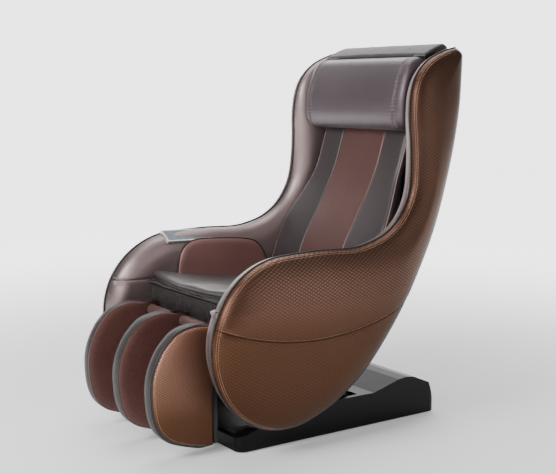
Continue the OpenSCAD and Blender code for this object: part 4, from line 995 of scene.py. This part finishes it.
def leg_wall(x0, x1):
    """A stuffed wall: two crowned faces that meet in a rounded rim strip."""
    half, middle = (x1 - x0) / 2, (x0 + x1) / 2

    def place(s, t):
        a, b = leg_edge(s), leg_rear(s)
        q = abs(t * 2 - 1)
        k = -1 if t < 0.5 else 1
        if q < 0.25:
            p, d = a, 0.0
            x = q / 0.25 * RIM_SHARE
        else:
            r = (q - 0.25) / 0.75
            p = a.lerp(b, r ** 1.6)
            d = (p - a).length
            x = RIM_SHARE + (1 - RIM_SHARE) * float(crown(d / 30)) - 0.1 * smooth((r - 0.75) / 0.25)
        swell = 1.6 * smooth(d / 60)
        bow = 2.2 * (1 - (q / 0.25) ** 2) if q < 0.25 else 0
        out = (a - LEG_MID).normalized() * bow
        across = x * half - (1.0 - swell * 0.5) * (q > 0.99)
        return Vector((middle + k * across, p[0] + out[0], p[1] + out[1]))

    bm = grid(110, 72, place)
    bmesh.ops.holes_fill(bm, edges=[e for e in bm.edges if e.is_boundary], sides=0)
    return bm


def leg_finish():
    """Red faces with a dark grey strip round the rim, set by the width across a wall."""
    def where(f):
        x = abs(f.x)
        near = abs(x - 0.182).fade(0.0133, 0.0137) * (x > 0.1)
        mid = x.fade(0.0163, 0.0167) * (x < 0.1)
        return near + mid
    return smooth_hide("leg_hide", "red_hide", RIM, metal=0.08, rough=0.56, second=shade(RED, 1.35),
                       where=where)


leg_hide = leg_finish()


def leg_face():
    c = Vector((LEG_Y - 0.32 * LEG_D, mix(LEG_LOW, LEG_TOP, 0.5)))

    def edge(s):
        p = curve(LEG_LINE, 0.03 + 0.94 * s)
        return p + (c - p).normalized() * 5

    rear = lambda s: Vector((LEG_Y - 3, mix(LEG_TOP - 9, LEG_LOW + 8, s)))
    bm = crowned(edge, rear, 90, 40, LEG_OUT - 4, 1.5, lambda z: FACE_T + 5.0,
                 [(trace(edge, 120), 24, 0), (trace(rear, 12), 8, 0)], times=3, wrinkle=0.3)
    pipe = [Vector((LEG_OUT - 2.4, *p)) for p in trace(edge, 120)]
    inner = trace(lambda s: edge(s) + (c - edge(s)).normalized() * 5, 120)
    k = crown(reach(inner, trace(edge, 120)) / 24)
    thread = [Vector((LEG_OUT - 2.1 + (FACE_T + 3.5) * h, *p)) for h, p in zip(k, inner)]
    return close_back(bm, lambda p: Vector((LEG_OUT - 4, p.y, p.z))), pipe, thread


def calf_pad():
    x0, x1 = LEG_W / 2 + 1, LEG_PITCH - LEG_W / 2 - 1
    z0, z1 = LEG_LOW + 24, HINGE_Z - 12

    def place(s, t):
        a, b = ease(s), ease(t)
        side, end = min(a, 1 - a) * (x1 - x0), min(b, 1 - b) * (z1 - z0)
        k = float(crown(side / 34) * crown(end / 34))
        p = Vector((mix(x0, x1, a), LEG_Y - GAP - 3 - 12 * k, mix(z0, z1, b)))
        p.y += crease(p, 40, 0.8)
        return p

    return close_back(grid(40, 60, place), lambda p: Vector((p.x, LEG_Y - GAP, p.z)))


def rim_line(x, shrink):
    return [Vector((x, *(p + (LEG_MID - p).normalized() * shrink))) for p in trace(leg_edge, 130)]


walls = {"middle": (-LEG_W / 2, LEG_W / 2), "left": (LEG_PITCH - LEG_W / 2, LEG_OUT)}
for name, (x0, x1) in walls.items():
    for flip in ((False,) if name == "middle" else (False, True)):
        side = "right" if flip else name
        finish_piece("leg_rest_" + side, leg_wall(x0, x1), leg_hide, "legrest", ["leg_wall_" + side], flip)
        half, mid = (x1 - x0) / 2, (x0 + x1) / 2
        for k in (-1, 1):
            edge = rim_line(mid + k * half * 0.76, 1.0)
            finish_piece("leg_piping_%s_%s" % (side, "outer" if k > 0 else "inner"), tube(edge, 1.7),
                         grey_piping if k < 0 else dark_piping, "legrest", flip=flip)
for side, flip in (("left", False), ("right", True)):
    roll = [Vector((x, HINGE_Y, HINGE_Z)) for x in (LEG_W / 2 + 0.5, LEG_PITCH - LEG_W / 2 - 0.5)]
    finish_piece("leg_roll_" + side, tube(roll, 14.5, ring=6), red, "legrest", flip=flip)
    face, pipe, thread = leg_face()
    finish_piece("leg_bronze_" + side, face, brightened_bronze, "legrest", ["leg_face_" + side], flip)
    finish_piece("leg_face_piping_" + side, tube(pipe, 1.9), dark_piping, "legrest", flip=flip)
    finish_piece("leg_stitch_" + side, stitches(thread, 6.0, 4.0, 0.5), copper_thread, "legrest", flip=flip)
    finish_piece("calf_cushion_" + side, calf_pad(), red, "legrest", ["calf_pad_" + side], flip)


# ---------------------------------------------------------------- base
TRAY_X, TRAY_FRONT, TRAY_REAR, TRAY_Z, TRAY_LIP, TRAY_WALL = 243, -234, 402, 17.5, 6, 0.0015


def under_tray():
    """Thin pressed tray with a turned-up rim that closes the base from below."""
    def place(s, t):
        x, y = (s * 2 - 1) * TRAY_X, mix(TRAY_FRONT, TRAY_REAR, t)
        edge = min(TRAY_X - abs(x), y - TRAY_FRONT, TRAY_REAR - y)
        return Vector((x, y, TRAY_Z + TRAY_LIP * (1 - smooth(edge / 8))))

    return grid(60, 80, place)


tray = finish_piece("under_tray", under_tray(), moulded, "base")
thicken(tray, TRAY_WALL)


# ---------------------------------------------------------------- finishes of the frame's own pieces
OWN = {
    "base_frame": paint, "base_cover": deck, "base_feet": rubber, "caster_left": rubber,
    "caster_right": rubber, "power_inlet": moulded, "power_rocker": moulded, "power_supply": alloy,
    "carriage_frame": paint, "wheelset_front": moulded, "wheelset_rear": moulded,
    "recline_motor": moulded, "recline_rod": chrome, "seat_frame": paint, "seat_board": ply,
    "back_frame": paint, "rail_left": steel, "rail_right": steel, "back_cover": moulded,
    "control_panel": silver, "control_screen": screen, "air_pump": moulded, "control_box": moulded,
    "legrest_motor": moulded, "legrest_rod": chrome, "hinge_shaft": steel, "leg_pan": paint,
    "mech_frame": steel, "mech_sliders": nylon, "mech_motor": moulded, "travel_motor": moulded,
    "travel_shaft": steel, "knead_arm_left": alloy, "knead_arm_right": alloy,
    "roller_upper_left": roller_rubber, "roller_lower_left": roller_rubber,
    "roller_upper_right": roller_rubber, "roller_lower_right": roller_rubber,
}
for name, finish in OWN.items():
    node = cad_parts[name]
    for i in range(len(node.data.materials)):
        node.material_slots[i].material = finish.material
    if not node.data.materials:
        node.data.materials.append(finish.material)


# ---------------------------------------------------------------- floor and light
# The way to the brightest part of the backdrop
BACKDROP = (-0.82, 0.56, 0.1)


def add_floor():
    bm = bmesh.new()
    bmesh.ops.create_grid(bm, x_segments=1, y_segments=1, size=9)
    mesh = bpy.data.meshes.new("floor")
    bm.to_mesh(mesh)
    bm.free()
    floor = bpy.data.objects.new("floor", mesh)
    bpy.context.collection.objects.link(floor)
    # The floor glows, which is painted light, and glows less near the chair, a painted shadow round it.
    f = Finish("floor_white", "cover_gloss", Base_Color=rgb(0.85, 0.85, 0.85), Roughness=0.8,
               Emission_Strength=2.7)
    glow_outside_shadow = ((f.x ** 2.0 + f.y ** 2.0) ** 0.5).fade(0.7, 3.4)
    f.set("Emission Color", f.mix(glow_outside_shadow, rgb(0.07, 0.07, 0.07), rgb(1, 1, 1)))
    mesh.materials.append(f.material)


def add_light(name, place, aim, size, power, colour=(1, 1, 1)):
    data = bpy.data.lights.new(name, "AREA")
    data.shape, data.size, data.size_y = "RECTANGLE", size[0], size[1]
    data.energy, data.color = power, colour
    lamp = bpy.data.objects.new(name, data)
    lamp.location = place
    lamp.rotation_mode = "QUATERNION"
    lamp.rotation_quaternion = (Vector(aim) - Vector(place)).to_track_quat("-Z", "Y")
    bpy.context.collection.objects.link(lamp)


def add_world():
    """White to the rear of the chair and dimmer in front of it, as a lit backdrop gives."""
    world = bpy.data.worlds.new("studio")
    world.use_nodes = True
    studio = Graph(world.node_tree)
    way = studio.add("ShaderNodeTexCoord", output="Generated")
    toward = studio.add("ShaderNodeVectorMath", {"operation": "DOT_PRODUCT"}, (way, BACKDROP), "Value")
    spread = studio.add("ShaderNodeMapRange", {"interpolation_type": "SMOOTHSTEP"},
                        (toward, 0.55, 0.9, 0.3, 3.4))
    glow = studio.tree.nodes["Background"]
    glow.inputs["Color"].default_value = rgb(1, 1, 1)
    studio.tree.links.new(spread.socket, glow.inputs["Strength"])
    bpy.context.scene.world = world


add_world()
add_floor()
add_light("key", (0.4, -3.2, 2.6), (0, 0, 0.6), (1.5, 1.5), 120)
add_light("side", (3.4, 0.9, 1.9), (0, 0, 0.5), (1.2, 2.0), 14)
add_light("fill", (2.3, -3.1, 2.0), (0, 0, 0.5), (1.3, 1.3), 45)
add_light("top", (-0.6, 0.2, 3.2), (0, 0, 0.6), (2.0, 2.0), 50)
